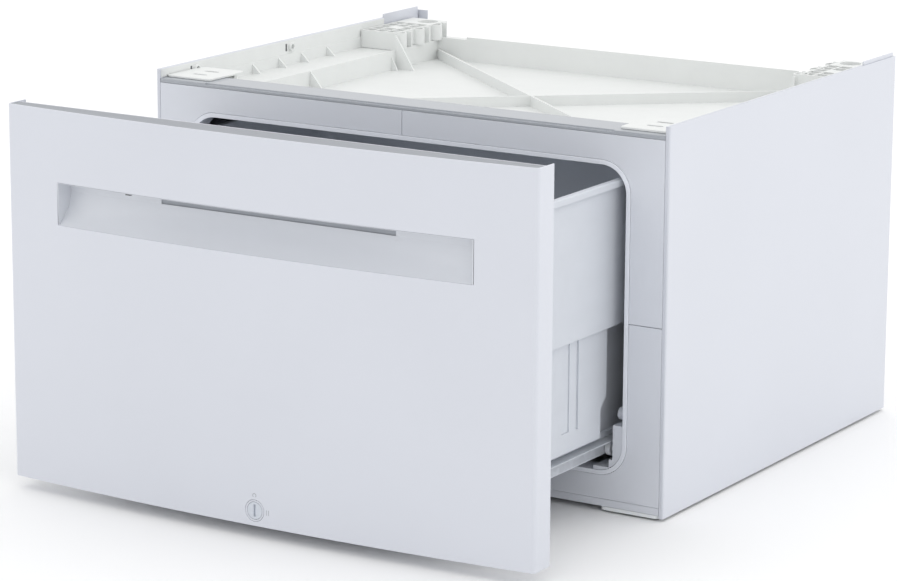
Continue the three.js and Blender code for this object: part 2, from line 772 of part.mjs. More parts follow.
// ---------------------------------------------------------------- rollers
function rollerGeometry() {
  const bore = rollerPinRadius + gap;
  const half = rollerWidth / 2;
  const chamfer = rollerChamfer;
  const profile = [
    new THREE.Vector2(bore, -half),
    new THREE.Vector2(rollerRadius - chamfer, -half),
    new THREE.Vector2(rollerRadius, chamfer - half),
    new THREE.Vector2(rollerRadius, half - chamfer),
    new THREE.Vector2(rollerRadius - chamfer, half),
    new THREE.Vector2(bore, half),
    new THREE.Vector2(bore, -half),
  ];
  const ring = new THREE.LatheGeometry(profile, fineSegments);
  ring.rotateZ(Math.PI / 2);
  return toGeometry(toSolid(ring));
}

function addRoller(group, name, side, y) {
  const roller = addPart(group, name, rollerGeometry(), 'rollerWhite');
  roller.position.set(side * (rollerInner + rollerWidth / 2), y, rollerZ);
}

// ---------------------------------------------------------------- drawer front
// The face is a shallow arc in plan, furthest forward in the middle.
function faceDepth(x) {
  return faceY + bowRadius - Math.sqrt(bowRadius ** 2 - x ** 2);
}

function traceFace(path, inset) {
  const centreY = faceY + bowRadius;
  const bend = frontBendRadius - inset;
  const bendX = frontHalfWidth - frontBendRadius;
  const bendY = frontBendRadius - frontWrap;
  const sweep = Math.asin(bowHalfChord / bowRadius);
  path.lineTo(bendX + bend, bendY);
  path.absarc(bendX, bendY, bend, 0, -Math.PI / 2, true);
  path.absarc(0, centreY, bowRadius - inset, sweep - Math.PI / 2, -Math.PI / 2 - sweep, true);
  path.absarc(-bendX, bendY, bend, -Math.PI / 2, -Math.PI, true);
}

function facePlate(inset, rear, zRange) {
  const edge = frontHalfWidth - inset;
  const outline = new THREE.Shape();
  outline.moveTo(edge, rear);
  traceFace(outline, inset);
  outline.lineTo(-edge, rear);
  return prism(outline, 'z', zRange, 16);
}

function lockHole(radius) {
  return rodY(radius, [faceY - overcut, overcut], 0, lockZ, fineSegments);
}

function drawerFront() {
  const outside = facePlate(0, 0, [frontLow, frontTop]);
  const inside = facePlate(frontSheet, overcut, [frontLow - overcut, frontTop + overcut]);
  const bottom = facePlate(frontSheet / 2, innerPanelRear, [frontLow, frontLow + frontSheet]);
  const holeY = [faceY - overcut, faceY + frontWrap];
  const gripHole = block([-gripHalfWidth, gripHalfWidth], holeY, [gripLow, gripTop]);
  const housingHole = lockHole(lockRadius + lockHousingWall + 2 * gap);
  return outside.subtract(inside).add(bottom).subtract(gripHole).subtract(housingHole);
}

function frontCap() {
  const top = frontTop - frontCapDrop;
  return facePlate(frontSheet + gap, innerPanelFront - gap, [top - frontCapThickness, top]);
}

function frontInnerPanel() {
  const edge = frontHalfWidth - frontSheet - gap;
  const low = frontLow + frontSheet + gap;
  const high = frontTop - frontCapDrop;
  const panel = block([-edge, edge], [innerPanelFront, innerPanelRear], [low, high]);
  return panel.subtract(lockHole(lockShaftRadius + 2 * gap));
}

// ---------------------------------------------------------------- grip recess
// Section through the recess, as depth behind the face and height. Ends are closed by flat walls.
function gripSection(closed) {
  const low = gripLow + gap;
  const high = gripTop - gap;
  const bend = gripLow + gripBackHeight;
  const ceiling = high - gripWall;
  const waist = gripLow + gripBackHeight / 3;
  const outer = gripDepth + gripWall;
  const shape = new THREE.Shape();
  shape.moveTo(0, low);
  if (closed) {
    shape.lineTo(0, high);
  } else {
    shape.quadraticCurveTo(gripDepth * gripCurve, waist, gripDepth, bend);
    shape.lineTo(gripDepth, ceiling);
    shape.lineTo(0, ceiling);
    shape.lineTo(0, high);
  }
  shape.lineTo(outer, high);
  shape.lineTo(outer, bend);
  shape.quadraticCurveTo(outer * gripCurve, waist - gripWall / 2, gripFoot, low);
  return shape;
}

function bowed(geometry) {
  const position = geometry.attributes.position;
  for (let i = 0; i < position.count; i += 1) {
    position.setY(i, position.getY(i) + faceDepth(position.getX(i)));
  }
  return toSolid(geometry);
}

function gripRecess() {
  const end = gripHalfWidth - gap;
  const trough = bowed(prismGeometry(gripSection(false), 'x', [gripWall - end, end - gripWall], 20));
  const leftEnd = bowed(prismGeometry(gripSection(true), 'x', [-end, gripWall - end]));
  const rightEnd = bowed(prismGeometry(gripSection(true), 'x', [end - gripWall, end]));
  const ceiling = gripTop - gap - gripWall;
  const slotY = [faceY + gripDepth / 2, faceY + gripDepth + frontBow + gripWall];
  const slot = block([-gripSlotLeft, gripSlotRight], slotY, [ceiling - gripSlotHeight, ceiling]);
  return trough.add(leftEnd).add(rightEnd).subtract(slot);
}

// ---------------------------------------------------------------- lock
function latheY(profile, segments = fineSegments) {
  const points = profile.map(([radius, y]) => new THREE.Vector2(radius, y));
  return new THREE.LatheGeometry(points, segments);
}

function lockHousing() {
  const bore = lockRadius + gap;
  const outer = bore + lockHousingWall;
  const rear = innerPanelFront - gap;
  const front = faceY + gap;
  const ring = latheY([[bore, front], [outer, front], [outer, rear], [bore, rear], [bore, front]]);
  ring.translate(0, 0, lockZ);
  return toSolid(ring);
}

function lockBarrel() {
  const front = faceY + gap;
  const shoulder = innerPanelFront - 2 * gap;
  const studEnd = camSetback + camThickness + nutThickness + 2 * gap;
  const barrel = toSolid(latheY([
    [0, front],
    [lockRadius, front],
    [lockRadius, shoulder],
    [lockShaftRadius, shoulder],
    [lockShaftRadius, camSetback - gap],
    [lockStudRadius, camSetback - gap],
    [lockStudRadius, studEnd],
    [0, studEnd],
  ]));
  const halfWide = lockSlotWidth / 2;
  const halfLong = lockSlotLength / 2;
  const slotY = [front - overcut, front + lockSlotDepth];
  return barrel.subtract(block([-halfWide, halfWide], slotY, [-halfLong, halfLong]));
}

function studHole([y0, y1]) {
  return rodY(lockStudRadius + gap, [y0 - overcut, y1 + overcut], 0, 0, smallSegments);
}

function lockCam() {
  const half = camHeight / 2;
  const thickness = [camSetback, camSetback + camThickness];
  const tongue = roundedRect(-half, camReach, -half, half, camCorner);
  return prism(tongue, 'y', thickness, 4).subtract(studHole(thickness));
}

function camNut() {
  const front = camSetback + camThickness + gap;
  const thickness = [front, front + nutThickness];
  return rodY(nutRadius, thickness, 0, 0, nutSides).subtract(studHole(thickness));
}

// ---------------------------------------------------------------- tub
function tubBox(half, [z0, z1], inset) {
  const radius = tubCorner - inset;
  return prism(roundedRect(-half, half, tubFront + inset, tubRear - inset, radius), 'z', [z0, z1], 6);
}

// The front part of the lower band stands further out and ends in an edge with a knee.
function tubSkirt(half, inset) {
  const rear = tubFront + tubSkirtLength - inset;
  const knee = panelBottom + tubKneeHeight + inset / 2;
  const outline = polygon([
    [tubFront + inset, panelBottom + tubSkirtBottom + inset],
    [rear - tubKnee, panelBottom + tubSkirtBottom + inset],
    [rear - tubKnee, knee],
    [rear, knee + tubKnee],
    [rear, tubStep + inset],
    [tubFront + inset, tubStep + inset],
  ]);
  return prism(outline, 'x', [-half, half]);
}

function between(a, b) {
  return [Math.min(a, b), Math.max(a, b)];
}

function tub() {
  const lowerHalf = tubHalfWidth - tubLowerInset;
  const rearHalf = tubHalfWidth - tubRearInset;
  const keelTop = panelBottom + tubSkirtBottom;
  const bottom = panelBottom + tubBottom;
  const rimHalf = tubHalfWidth + tubRim;
  let shell = tubBox(tubHalfWidth, [tubStep, tubRimTop], 0);
  const rim = roundedRect(-rimHalf, rimHalf, tubFront, tubRear + tubRim, tubCorner + tubRim);
  shell = shell.add(prism(rim, 'z', [tubRimTop - tubRimHeight, tubRimTop], 6));
  shell = shell.add(tubBox(rearHalf, [keelTop - overcut, tubStep + overcut], 0));
  shell = shell.add(tubSkirt(lowerHalf, 0));
  shell = shell.add(tubBox(tubKeelHalfWidth, [bottom, keelTop], 0));
  let room = tubBox(tubHalfWidth - tubWall, [tubStep + tubWall, tubRimTop + overcut], tubWall);
  room = room.add(tubBox(rearHalf - tubWall, [bottom + tubWall, tubStep + 2 * tubWall], tubWall));
  room = room.add(tubSkirt(lowerHalf - tubWall, tubWall));
  shell = shell.subtract(room);
  const ribY = tubFront + tubRibStart;
  const grooveY = tubFront + tubGrooveStart;
  const lowest = panelBottom + tubRibBottom;
  for (const side of [-1, 1]) {
    const ribX = between(side * (lowerHalf - overcut), side * (lowerHalf + tubRibProud));
    const grooveX = between(side * (lowerHalf - tubGrooveDepth), side * (lowerHalf + overcut));
    shell = shell.add(block(ribX, [ribY, ribY + tubRibWidth], [lowest, tubStep + overcut]));
    shell = shell.subtract(block(grooveX, [grooveY, grooveY + tubGrooveWidth], [lowest, tubStep]));
  }
  return shell;
}

function carrierRail() {
  const inner = carrierInner;
  const section = polygon([
    [inner, carrierTop - carrierHeight],
    [inner + railSheet, carrierTop - carrierHeight],
    [inner + railSheet, carrierTop - carrierFlange],
    [carrierOuter, carrierTop - carrierFlange],
    [carrierOuter, carrierTop],
    [inner, carrierTop],
  ]);
  const pinX = [inner + railSheet / 2, rollerInner + rollerWidth - gap];
  const pin = rodX(rollerPinRadius, pinX, rearRollerY, rollerZ);
  return prism(section, 'y', [tubFront, carrierRear]).add(pin);
}

function bumper(z) {
  const x = frontHalfWidth - bumperSetback;
  return rodY(bumperRadius, [tubFront, tubFront + bumperLength], x, z, smallSegments);
}

// ---------------------------------------------------------------- assembly
function buildCabinet(cabinet) {
  addPair(cabinet, 'side_panel', sidePanel(), 'paintedWhite');
  addSolid(cabinet, 'rear_panel', rearPanel(), 'paintedWhite');
  addPair(cabinet, 'rear_stop_tab', stopTab(), 'zincSteel');
  addSolid(cabinet, 'front_base_rail', frontBottomRail(), 'coverWhite');
  addSolid(cabinet, 'rear_base_rail', rearBottomRail(), 'zincSteel');
  addPair(cabinet, 'side_base_rail', sideBaseRail(), 'zincSteel');
  addSolid(cabinet, 'front_top_rail', frontTopRail(), 'railGrey');
  const rearPostFront = cabinetDepth - 2 * sheet - 3 * gap - railSheet - postDepth;
  addPair(cabinet, 'front_post', cornerPost(postFront, postTop), 'zincSteel');
  addPair(cabinet, 'rear_post', cornerPost(rearPostFront, shelfBottom - gap), 'zincSteel');
  for (const [height, upper] of [['upper', true], ['lower', false]]) {
    addSolid(cabinet, `front_cover_${height}_right`, frontCover(1, upper), 'coverWhite');
    addSolid(cabinet, `front_cover_${height}_left`, frontCover(-1, upper), 'coverWhite');
  }
  addSolid(cabinet, 'opening_liner', openingLiner(), 'bracketWhite');
  addSolid(cabinet, 'top_tray', topTray(), 'trayWhite');
  addPair(cabinet, 'rear_machine_support', rearSupport(), 'trayWhite');
  addPair(cabinet, 'front_machine_support', frontSupport(), 'trayWhite');
  const shoeTop = baseRailBottom - gap;
  const rearFoot = trayRear - shoeWidth;
  for (const [place, front] of [['front', gap], ['rear', rearFoot]]) {
    const shoe = footSlab(0, [shoeTop - shoeThickness, shoeTop], front);
    const pad = footSlab(padInset, [0, padThickness], front);
    addPair(cabinet, `${place}_shoe`, shoe, 'shoeGrey');
    addPair(cabinet, `${place}_foot_pad`, pad, 'rubberGrey');
  }
  addPair(cabinet, 'cabinet_slide', cabinetChannel(), 'zincSteel');
  addPair(cabinet, 'slide_bracket', channelBracket(), 'zincSteel');
  addPair(cabinet, 'guide_bracket', guideBracket(), 'bracketWhite');
  addPair(cabinet, 'side_peg', sidePeg(), 'bracketWhite');
  addRoller(cabinet, 'front_roller_right', 1, rollerFrontSetback);
  addRoller(cabinet, 'front_roller_left', -1, rollerFrontSetback);
}

function buildDrawer(drawer) {
  addSolid(drawer, 'drawer_front', drawerFront(), 'paintedWhite');
  addSolid(drawer, 'front_top_cap', frontCap(), 'capGrey');
  addSolid(drawer, 'front_inner_panel', frontInnerPanel(), 'paintedWhite');
  addSolid(drawer, 'grip_recess', gripRecess(), 'paintedWhite');
  addSolid(drawer, 'lock_housing', lockHousing(), 'lockGrey');
  addSolid(drawer, 'drawer_tub', tub(), 'tubGrey');
  addPair(drawer, 'drawer_slide', carrierRail(), 'zincSteel');
  addPair(drawer, 'lower_bumper', bumper(panelBottom + bumperLowHeight), 'rubberGrey');
  addPair(drawer, 'upper_bumper', bumper(frontTop - bumperHighDrop), 'rubberGrey');
  addRoller(drawer, 'rear_roller_right', 1, rearRollerY);
  addRoller(drawer, 'rear_roller_left', -1, rearRollerY);
  const lock = new THREE.Group();
  lock.position.set(0, 0, lockZ);
  addSolid(lock, 'lock_barrel', lockBarrel(), 'lockGrey');
  addSolid(lock, 'lock_cam', lockCam(), 'zincSteel');
  addSolid(lock, 'lock_nut', camNut(), 'zincSteel');
  drawer.add(lock);
}

// The origin is on the floor under the middle of everything, with the drawer part open.
const pedestal = new THREE.Group();
const cabinet = new THREE.Group();
const drawer = new THREE.Group();
cabinet.position.y = (drawerOpening - faceY - cabinetDepth) / 2;
drawer.position.y = -drawerOpening;
buildCabinet(cabinet);
buildDrawer(drawer);
cabinet.add(drawer);
pedestal.add(cabinet);

export default pedestal;
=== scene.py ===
"""A laundry pedestal: a steel cabinet that a washing machine stands on, with one wide drawer on rollers.

The frame gives every piece's place and size. This file gives the pieces their rounded edges, their fine
parts and their finishes. Metres, +X to the right, +Y to the back, +Z up.
"""
import json
import math

import bmesh
import bpy
from mathutils import Matrix, Vector


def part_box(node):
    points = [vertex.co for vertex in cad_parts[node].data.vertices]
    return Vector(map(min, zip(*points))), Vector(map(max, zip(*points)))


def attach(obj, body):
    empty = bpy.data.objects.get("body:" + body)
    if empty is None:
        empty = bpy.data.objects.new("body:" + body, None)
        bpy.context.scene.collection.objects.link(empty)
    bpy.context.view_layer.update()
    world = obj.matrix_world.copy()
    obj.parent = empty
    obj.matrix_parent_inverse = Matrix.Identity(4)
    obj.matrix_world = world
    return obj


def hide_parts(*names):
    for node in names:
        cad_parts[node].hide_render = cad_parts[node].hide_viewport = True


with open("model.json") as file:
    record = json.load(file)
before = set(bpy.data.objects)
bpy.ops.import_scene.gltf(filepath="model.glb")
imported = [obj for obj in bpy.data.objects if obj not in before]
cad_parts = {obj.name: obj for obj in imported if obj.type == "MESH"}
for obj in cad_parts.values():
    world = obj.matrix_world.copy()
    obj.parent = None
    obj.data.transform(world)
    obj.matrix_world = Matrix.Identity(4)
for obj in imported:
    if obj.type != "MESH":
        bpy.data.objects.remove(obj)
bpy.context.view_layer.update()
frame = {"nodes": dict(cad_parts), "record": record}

bl_info = {
    "name": "Laundry pedestal",
    "version": (1, 0, 0),
    "blender": (4, 5, 0),
    "location": "3D View > Sidebar > Pedestal",
    "description": "Builds the looks of a laundry pedestal with a pull-out drawer around its frame",
    "category": "Object",
}

MM = 0.001
SIDES = (("right", 1), ("left", -1))
SLOTS = {part["node"]: part["material_slot"] for part in frame["record"]["subparts"]}
BODIES = {node: body for body, nodes in frame["record"]["behaviour"]["bodies"].items() for node in nodes}

# How meshes are cleaned and shaded
MERGE_DISTANCE = 0.01 * MM
FLAT_ANGLE = math.radians(0.25)  # faces that turn less than this are one face
ROUND_ANGLE = math.radians(28)  # edges that turn less than this belong to a round surface
# painted highlight: this attribute marks rounded edges, which the finishes make lighter
EDGE_HIGHLIGHT_ATTRIBUTE = "edge_wear"

# Places read from the frame
FRONT_LOW, FRONT_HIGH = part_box("drawer_front")
GRIP_LOW, GRIP_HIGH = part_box("grip_recess")
LOCK_LOW, LOCK_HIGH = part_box("lock_barrel")
TRAY_LOW, TRAY_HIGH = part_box("top_tray")
REAR_LOW, REAR_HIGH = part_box("rear_panel")
SUPPORT_LOW, SUPPORT_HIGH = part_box("rear_machine_support_right")
RAIL_LOW, RAIL_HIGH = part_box("front_top_rail")
_, TUB_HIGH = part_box("drawer_tub")
_, PANEL_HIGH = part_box("side_panel_right")
TAB_LOW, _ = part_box("rear_stop_tab_right")
LOCK_Z = (LOCK_LOW.z + LOCK_HIGH.z) / 2

# The drawer front's face is an arc in plan
FACE_BEND = 4 * MM
FACE_BOW = 14 * MM
HALF_CHORD = FRONT_HIGH.x - FACE_BEND
BOW_RADIUS = (HALF_CHORD ** 2 + FACE_BOW ** 2) / (2 * FACE_BOW)

# The grip recess: its section, and how finely it is drawn
GRIP_BACK_SHARE = 0.72  # of the height, up to where the back stands upright
GRIP_WAIST_SHARE = 0.333  # of the height below that, for the curve's middle point
GRIP_FULLNESS = 0.85  # of the depth, for the same point
GRIP_FIT = 0.2 * MM
GRIP_STATION_COUNT = 24
GRIP_STATION_GAP = 4 * MM
GRIP_CURVE_STEPS = 12

# The grip's finger slot, the grey strip behind it whose colour is painted shade, and the vent beside it, a
# dark block of painted shade
SLOT_ENDS = (-126 * MM, 140 * MM)
SLOT_NOTCH = 128 * MM
SLOT_LINE = 2.4 * MM  # from the slot's edge to the next line of the mesh
BACKING_GAP = 0.1 * MM
BACKING_OVERLAP = 3 * MM
BACKING_SHEET = 0.5 * MM
BACKING_EDGE = 0.1 * MM
VENT_ENDS = (-150 * MM, -144 * MM)
VENT_SETBACK = 0.4 * MM
VENT_DROP = 0.2 * MM
VENT_DEPTH = 4 * MM

# The tray's side walls, and the clips and slots that each of them carries; each slot is a thin dark sheet of
# painted shade, not an opening
TRAY_WALL = 1.6 * MM
TRAY_WALL_OVERLAP = 8 * MM
CLIP_PLACES = (-61 * MM, 113 * MM)
CLIP_RISE = 9 * MM
CLIP_OFFSET = 2 * MM
CLIP_HEIGHT = 3.2 * MM
CLIP_BORE_SHARE = 0.62
CLIP_OUTER_CHAMFER = 0.4 * MM
CLIP_INNER_CHAMFER = 0.3 * MM
CLIP_SLOT_OFFSET = 5 * MM
CLIP_SLOT_WIDTH = 2.6 * MM
CLIP_SLOT_HALF_HEIGHT = 4 * MM
CLIP_SLOT_SKIN = 0.15 * MM

# Half-round pockets and ribs stand along the inner side of each rear support
POCKET_PLACES = (8 * MM, 45 * MM, 82 * MM)
POCKET_WALL = 1.4 * MM
POCKET_FOOT = 2 * MM
POCKET_TOP = 0.4 * MM
POCKET_DEPTH = 12 * MM
SUPPORT_SIDE = 247.9 * MM
RIB_GAP = 6 * MM
RIB_SHARE = 0.8  # of the pocket's radius
RIB_EDGE = 0.3 * MM

# The rear panel's pressed fields and its screws
FIELD_PLACE = 160 * MM
FIELD_HALF_WIDTH = 55 * MM
FIELD_END = 60 * MM
FIELD_DEPTH = 0.9 * MM
FIELD_ROUNDING = 0.9  # of the depth
SCREW_INSET = 22 * MM
SCREW_END = 30 * MM
SCREW_ROWS = 4

# The tub's rounder edges: the step under its smooth band, above the floor, and how near an edge has to be
TUB_STEP = 187 * MM
TUB_STEP_DEPTH = 5.5 * MM
EDGE_REACH = 0.5 * MM

# Printed marks beside the lock
RING_RISE = 15 * MM
RING_INNER = 1.4 * MM
RING_OUTER = 2.4 * MM
STROKES_PLACE = 15 * MM
STROKE_OFFSET = 1.2 * MM
STROKE_HALF_WIDTH = 0.45 * MM
STROKE_HALF_HEIGHT = 2.6 * MM
MARK_STRENGTH = 0.8

# The lines that turning leaves on the lock, as radians in a metre
TURNING_LINES = 9000.0

# Edges of the small hard pieces
LOCK_HOUSING_EDGE = 0.15 * MM
LOCK_EDGE = 0.3 * MM
ROLLER_EDGE = 0.3 * MM
BUMPER_EDGE = 1.2 * MM

# The studio
LIGHT_TARGET = (0, 0, 0.2)
KEY_PLACE, KEY_SIZE = (3.2, 1.4, 2.2), 2.4
FILL_PLACE, FILL_SIZE = (-2.8, -2.2, 1.8), 3.0
FLOOR_HALF_WIDTH = 14.0
SENSOR_WIDTH = 36
CLIP_END = 60


# ---------------------------------------------------------------- sizes and colours that a user may change
class PedestalSizes(bpy.types.PropertyGroup):
    """Sizes of the details that the frame doesn't hold."""

    sheet_edge: bpy.props.FloatProperty(
        name="Sheet edge", description="Rounding of folded and cut sheet edges",
        default=0.35 * MM, unit="LENGTH")
    face_edge: bpy.props.FloatProperty(
        name="Face edge", description="Rounding around the drawer's face",
        default=0.6 * MM, unit="LENGTH")
    moulded_edge: bpy.props.FloatProperty(
        name="Moulded edge", description="Rounding of the plastic mouldings",
        default=0.5 * MM, unit="LENGTH")
    tub_shoulder: bpy.props.FloatProperty(
        name="Tub shoulder", description="Rounding under the tub's smooth upper band",
        default=3.6 * MM, unit="LENGTH")
    tub_rim: bpy.props.FloatProperty(
        name="Tub rim", description="Rounding of the tub's rim",
        default=2.4 * MM, unit="LENGTH")
    grip_wall: bpy.props.FloatProperty(
        name="Grip wall", description="Thickness of the grip recess",
        default=1.2 * MM, unit="LENGTH")
    grip_slot: bpy.props.FloatProperty(
        name="Grip slot", description="Height of the finger slot in the grip recess",
        default=14.6 * MM, unit="LENGTH")
    grip_notch: bpy.props.FloatProperty(
        name="Grip notch", description="How much lower the finger slot is at its right end",
        default=1.5 * MM, unit="LENGTH")
    pocket_radius: bpy.props.FloatProperty(
        name="Pocket", description="Radius of the half-round pockets beside the rear supports",
        default=8 * MM, unit="LENGTH")
    clip_radius: bpy.props.FloatProperty(
        name="Clip", description="Radius of the clips on the tray's side walls",
        default=4.6 * MM, unit="LENGTH")
    screw_radius: bpy.props.FloatProperty(
        name="Screw", description="Radius of a screw head's washer",
        default=4.2 * MM, unit="LENGTH")


def linear(red, green, blue):
    """A colour given as 0 to 255 steps of a screen, as the linear values that shaders use."""
    steps = [value / 255 for value in (red, green, blue)]
    return tuple(step / 12.92 if step <= 0.04045 else ((step + 0.055) / 1.055) ** 2.4 for step in steps)


def colour_property(name, description, default):
    """A colour that the panel shows with a swatch."""
    return bpy.props.FloatVectorProperty(
        name=name, description=description, default=default, size=3, min=0, max=1, subtype="COLOR")


class PedestalColours(bpy.types.PropertyGroup):
    """Colours of the finishes."""

    enamel: colour_property(
        "Enamel", "Stove enamel on the cabinet and the drawer front", linear(206, 209, 217))
    grip: colour_property("Grip", "Grip recess", linear(212, 215, 221))
    cover: colour_property("Covers", "Front covers around the opening", linear(214, 217, 224))
    # painted shade and reflection: the rail's grey stands for the darker look of its up-facing top, on the
    # same enamel as the cabinet
    rail: colour_property("Top rail", "Painted rail under the machine's front edge", linear(167, 171, 177))
    # painted reflection: the cap's grey stands for the dark reflection that the drawer front's top fold
    # shows
    cap: colour_property("Cap", "Strip that closes the drawer front's top", linear(142, 146, 153))
    tray: colour_property("Tray", "Moulded top tray", linear(226, 228, 227))
    tub: colour_property("Tub", "Moulded drawer tub", linear(203, 207, 214))
    zinc: colour_property("Zinc", "Zinc-plated steel", linear(196, 200, 206))
    bracket: colour_property("Brackets", "Moulded guide brackets and pegs", linear(212, 215, 222))
    liner: colour_property("Liner", "Moulded liner of the opening", linear(228, 231, 238))
    roller: colour_property("Rollers", "Hard smooth rollers", linear(206, 209, 213))
    shoe: colour_property("Shoes", "Plastic shoes under the corners", linear(236, 239, 241))
    rubber: colour_property("Rubber", "Foot pads and bumpers", linear(128, 132, 132))
    lock: colour_property("Lock", "Lock cylinder", linear(205, 210, 218))
    # painted shade: this grey stands for the shaded inside of the drawer front, seen through the grip's
    # finger slot
    backing: colour_property("Slot backing", "Strip behind the grip's finger slot", linear(158, 162, 169))
    # painted shade: a dark colour for the thin sheets and blocks that stand for the shade inside small slots
    void: colour_property("Slots", "Inside of small slots", linear(96, 98, 100))
    floor: colour_property("Floor", "Studio floor", linear(250, 250, 250))


class StudioSettings(bpy.types.PropertyGroup):
    """The studio's lights and camera."""

    sky: bpy.props.FloatProperty(name="Sky", description="Strength of the white surroundings", default=1.12)
    key: bpy.props.FloatProperty(name="Key light", description="Power of the key light", default=16.0)
    fill: bpy.props.FloatProperty(name="Fill light", description="Power of the fill light", default=5.0)
    lens: bpy.props.FloatProperty(name="Lens", description="Focal length in millimetres", default=140.6)
    yaw: bpy.props.FloatProperty(
        name="Yaw", description="Camera's turn to the left", default=math.radians(31.8775), subtype="ANGLE")
    pitch: bpy.props.FloatProperty(
        name="Pitch", description="Camera's tilt down", default=math.radians(13.0631), subtype="ANGLE")
    roll: bpy.props.FloatProperty(
        name="Roll", description="Camera's roll", default=math.radians(0.2964), subtype="ANGLE")
    stand: bpy.props.FloatVectorProperty(
        name="Camera place", description="Where the camera stands",
        default=(1.8362, -2.9852, 0.9816), size=3, subtype="XYZ")


def sizes():
    return bpy.context.scene.pedestal_sizes


def colours():
    return bpy.context.scene.pedestal_colours


def studio():
    return bpy.context.scene.pedestal_studio


# ---------------------------------------------------------------- shader maths
class Wire:
    """A value in a finish's node tree, which Python's operators turn into Math nodes."""

    def __init__(self, finish, socket):
        self.finish = finish
        self.socket = socket

    def math(self, operation, first, second):
        return self.finish.add("ShaderNodeMath", {"operation": operation}, {0: first, 1: second})

    def __add__(self, other):
        return self.math("ADD", self, other)

    def __sub__(self, other):
        return self.math("SUBTRACT", self, other)

    def __mul__(self, other):
        return self.math("MULTIPLY", self, other)

    def __gt__(self, other):
        return self.math("GREATER_THAN", self, other)

    def __lt__(self, other):
        return self.math("LESS_THAN", self, other)

    def __abs__(self):
        return self.math("ABSOLUTE", self, 0.0)

    def __pow__(self, other):
        return self.math("POWER", self, other)

    __radd__ = __add__


class Finish:
    """A material and the nodes that make it."""

    def __init__(self, name):
        self.material = bpy.data.materials.new(name)
        self.material.use_nodes = True
        self.nodes = self.material.node_tree.nodes
        self.links = self.material.node_tree.links
        self.nodes.clear()

    def add(self, kind, settings=None, values=None, output=0):
        """Adds a node: its settings are set first, then its sockets' values or links."""
        node = self.nodes.new(kind)
        for name, value in (settings or {}).items():
            if name == "stops":
                for stop, (position, grey) in zip(node.color_ramp.elements, value):
                    stop.position = position
                    stop.color = (grey, grey, grey, 1)
            else:
                setattr(node, name, value)
        for name, value in (values or {}).items():
            self.feed(node.inputs[name], value)
        return Wire(self, node.outputs[output]) if node.outputs else None

    def feed(self, socket, value):
        if isinstance(value, Wire):
            self.links.new(value.socket, socket)
        elif socket.type == "RGBA":
            socket.default_value = (*value[:3], 1)
        else:
            socket.default_value = value

    def place(self):
        """Object coordinates, in metres."""
        return self.add("ShaderNodeTexCoord", output="Object")

    def stretched(self, scale):
        """Object coordinates, stretched by one number along each axis."""
        return self.add("ShaderNodeMapping", None, {"Vector": self.place(), "Scale": scale})

    def noise(self, scale, detail=2.0, place=None, roughness=0.5):
        values = {"Vector": place or self.place(), "Scale": scale, "Detail": detail, "Roughness": roughness}
        return self.add("ShaderNodeTexNoise", None, values)

    def ramp(self, value, low, high):
        """0 below low, 1 above high."""
        stops = ((low, 0), (high, 1))
        return self.add("ShaderNodeValToRGB", {"stops": stops}, {"Fac": value})

    def mix(self, share, first, second):
        """A colour between two colours."""
        return self.add("ShaderNodeMix", {"data_type": "RGBA"}, {0: share, 6: first, 7: second}, output=2)

    def axes(self):
        """The three parts of the place on the object."""
        parts = self.add("ShaderNodeSeparateXYZ", None, {"Vector": self.place()})
        outputs = parts.socket.node.outputs
        return [Wire(self, outputs[axis]) for axis in "XYZ"]

    def wear(self):
        """1 on a piece's rounded edges, 0 elsewhere; the finishes paint a highlight there."""
        return self.add("ShaderNodeAttribute", {"attribute_name": EDGE_HIGHLIGHT_ATTRIBUTE}, output="Fac")

    def bump(self, height, strength, distance, under=None):
        values = {"Height": height, "Strength": strength, "Distance": distance}
        if under is not None:
            values["Normal"] = under
        return self.add("ShaderNodeBump", None, values)

    def surface(self, **values):
        """The shader itself. Words are joined by _ in place of spaces."""
        named = {name.replace("_", " "): value for name, value in values.items()}
        shader = self.add("ShaderNodeBsdfPrincipled", None, named)
        self.add("ShaderNodeOutputMaterial", None, {"Surface": shader})
        return self.material


def shade(colour, share):
    """A colour made darker below 1 or lighter above."""
    return tuple(min(1.0, part * share) for part in colour)


# ---------------------------------------------------------------- finishes
def enamel(name, colour, gloss=0.3, marks=None):
    """Stove enamel: a faint orange peel, soft clouding, and a painted highlight that makes the rounded edges
    lighter.
    """
    finish = Finish(name)
    peel = finish.noise(420, 3.0)
    ripple = finish.noise(38, 2.0)
    cloud = finish.noise(5.5, 3.0)
    speck = finish.ramp(finish.noise(900, 1.0), 0.72, 0.8)
    base = finish.mix(cloud, shade(colour, 0.965), shade(colour, 1.015))
    base = finish.mix(speck * 0.35, base, shade(colour, 0.9))
    # painted highlight: the rounded edges are made lighter
    base = finish.mix(finish.wear() * 0.4, base, shade(colour, 1.12))
    if marks:
        base = finish.mix(marks(finish), base, shade(colour, 0.55))
    soft = finish.bump(ripple, 0.06, 0.6 * MM)
    normal = finish.bump(peel, 0.05, 0.15 * MM, soft)
    rough = gloss + cloud * 0.05 + speck * 0.1
    return finish.surface(
        Base_Color=base, Roughness=rough, Normal=normal, Coat_Weight=0.25, Coat_Roughness=0.12)


def moulding(name, colour, rough, grain=1500, depth=0.1, flow=(1, 1, 1)):
    """Moulded plastic: a fine grain, faint flow lines, a little dust in the grain, and a painted highlight
    that makes the rounded edges lighter.
    """
    finish = Finish(name)
    grains = finish.noise(grain, 2.0)
    streaks = finish.noise(16, 4.0, finish.stretched(flow))
    dust = finish.ramp(finish.noise(60, 5.0), 0.5, 0.75)
    base = finish.mix(streaks, shade(colour, 0.96), shade(colour, 1.02))
    base = finish.mix(dust * 0.25, base, shade(colour, 0.93))
    # painted highlight: the rounded edges are made lighter
    base = finish.mix(finish.wear() * 0.35, base, shade(colour, 1.1))
    normal = finish.bump(grains, 0.18, depth * MM)
    return finish.surface(Base_Color=base, Roughness=rough + streaks * 0.08, Normal=normal)


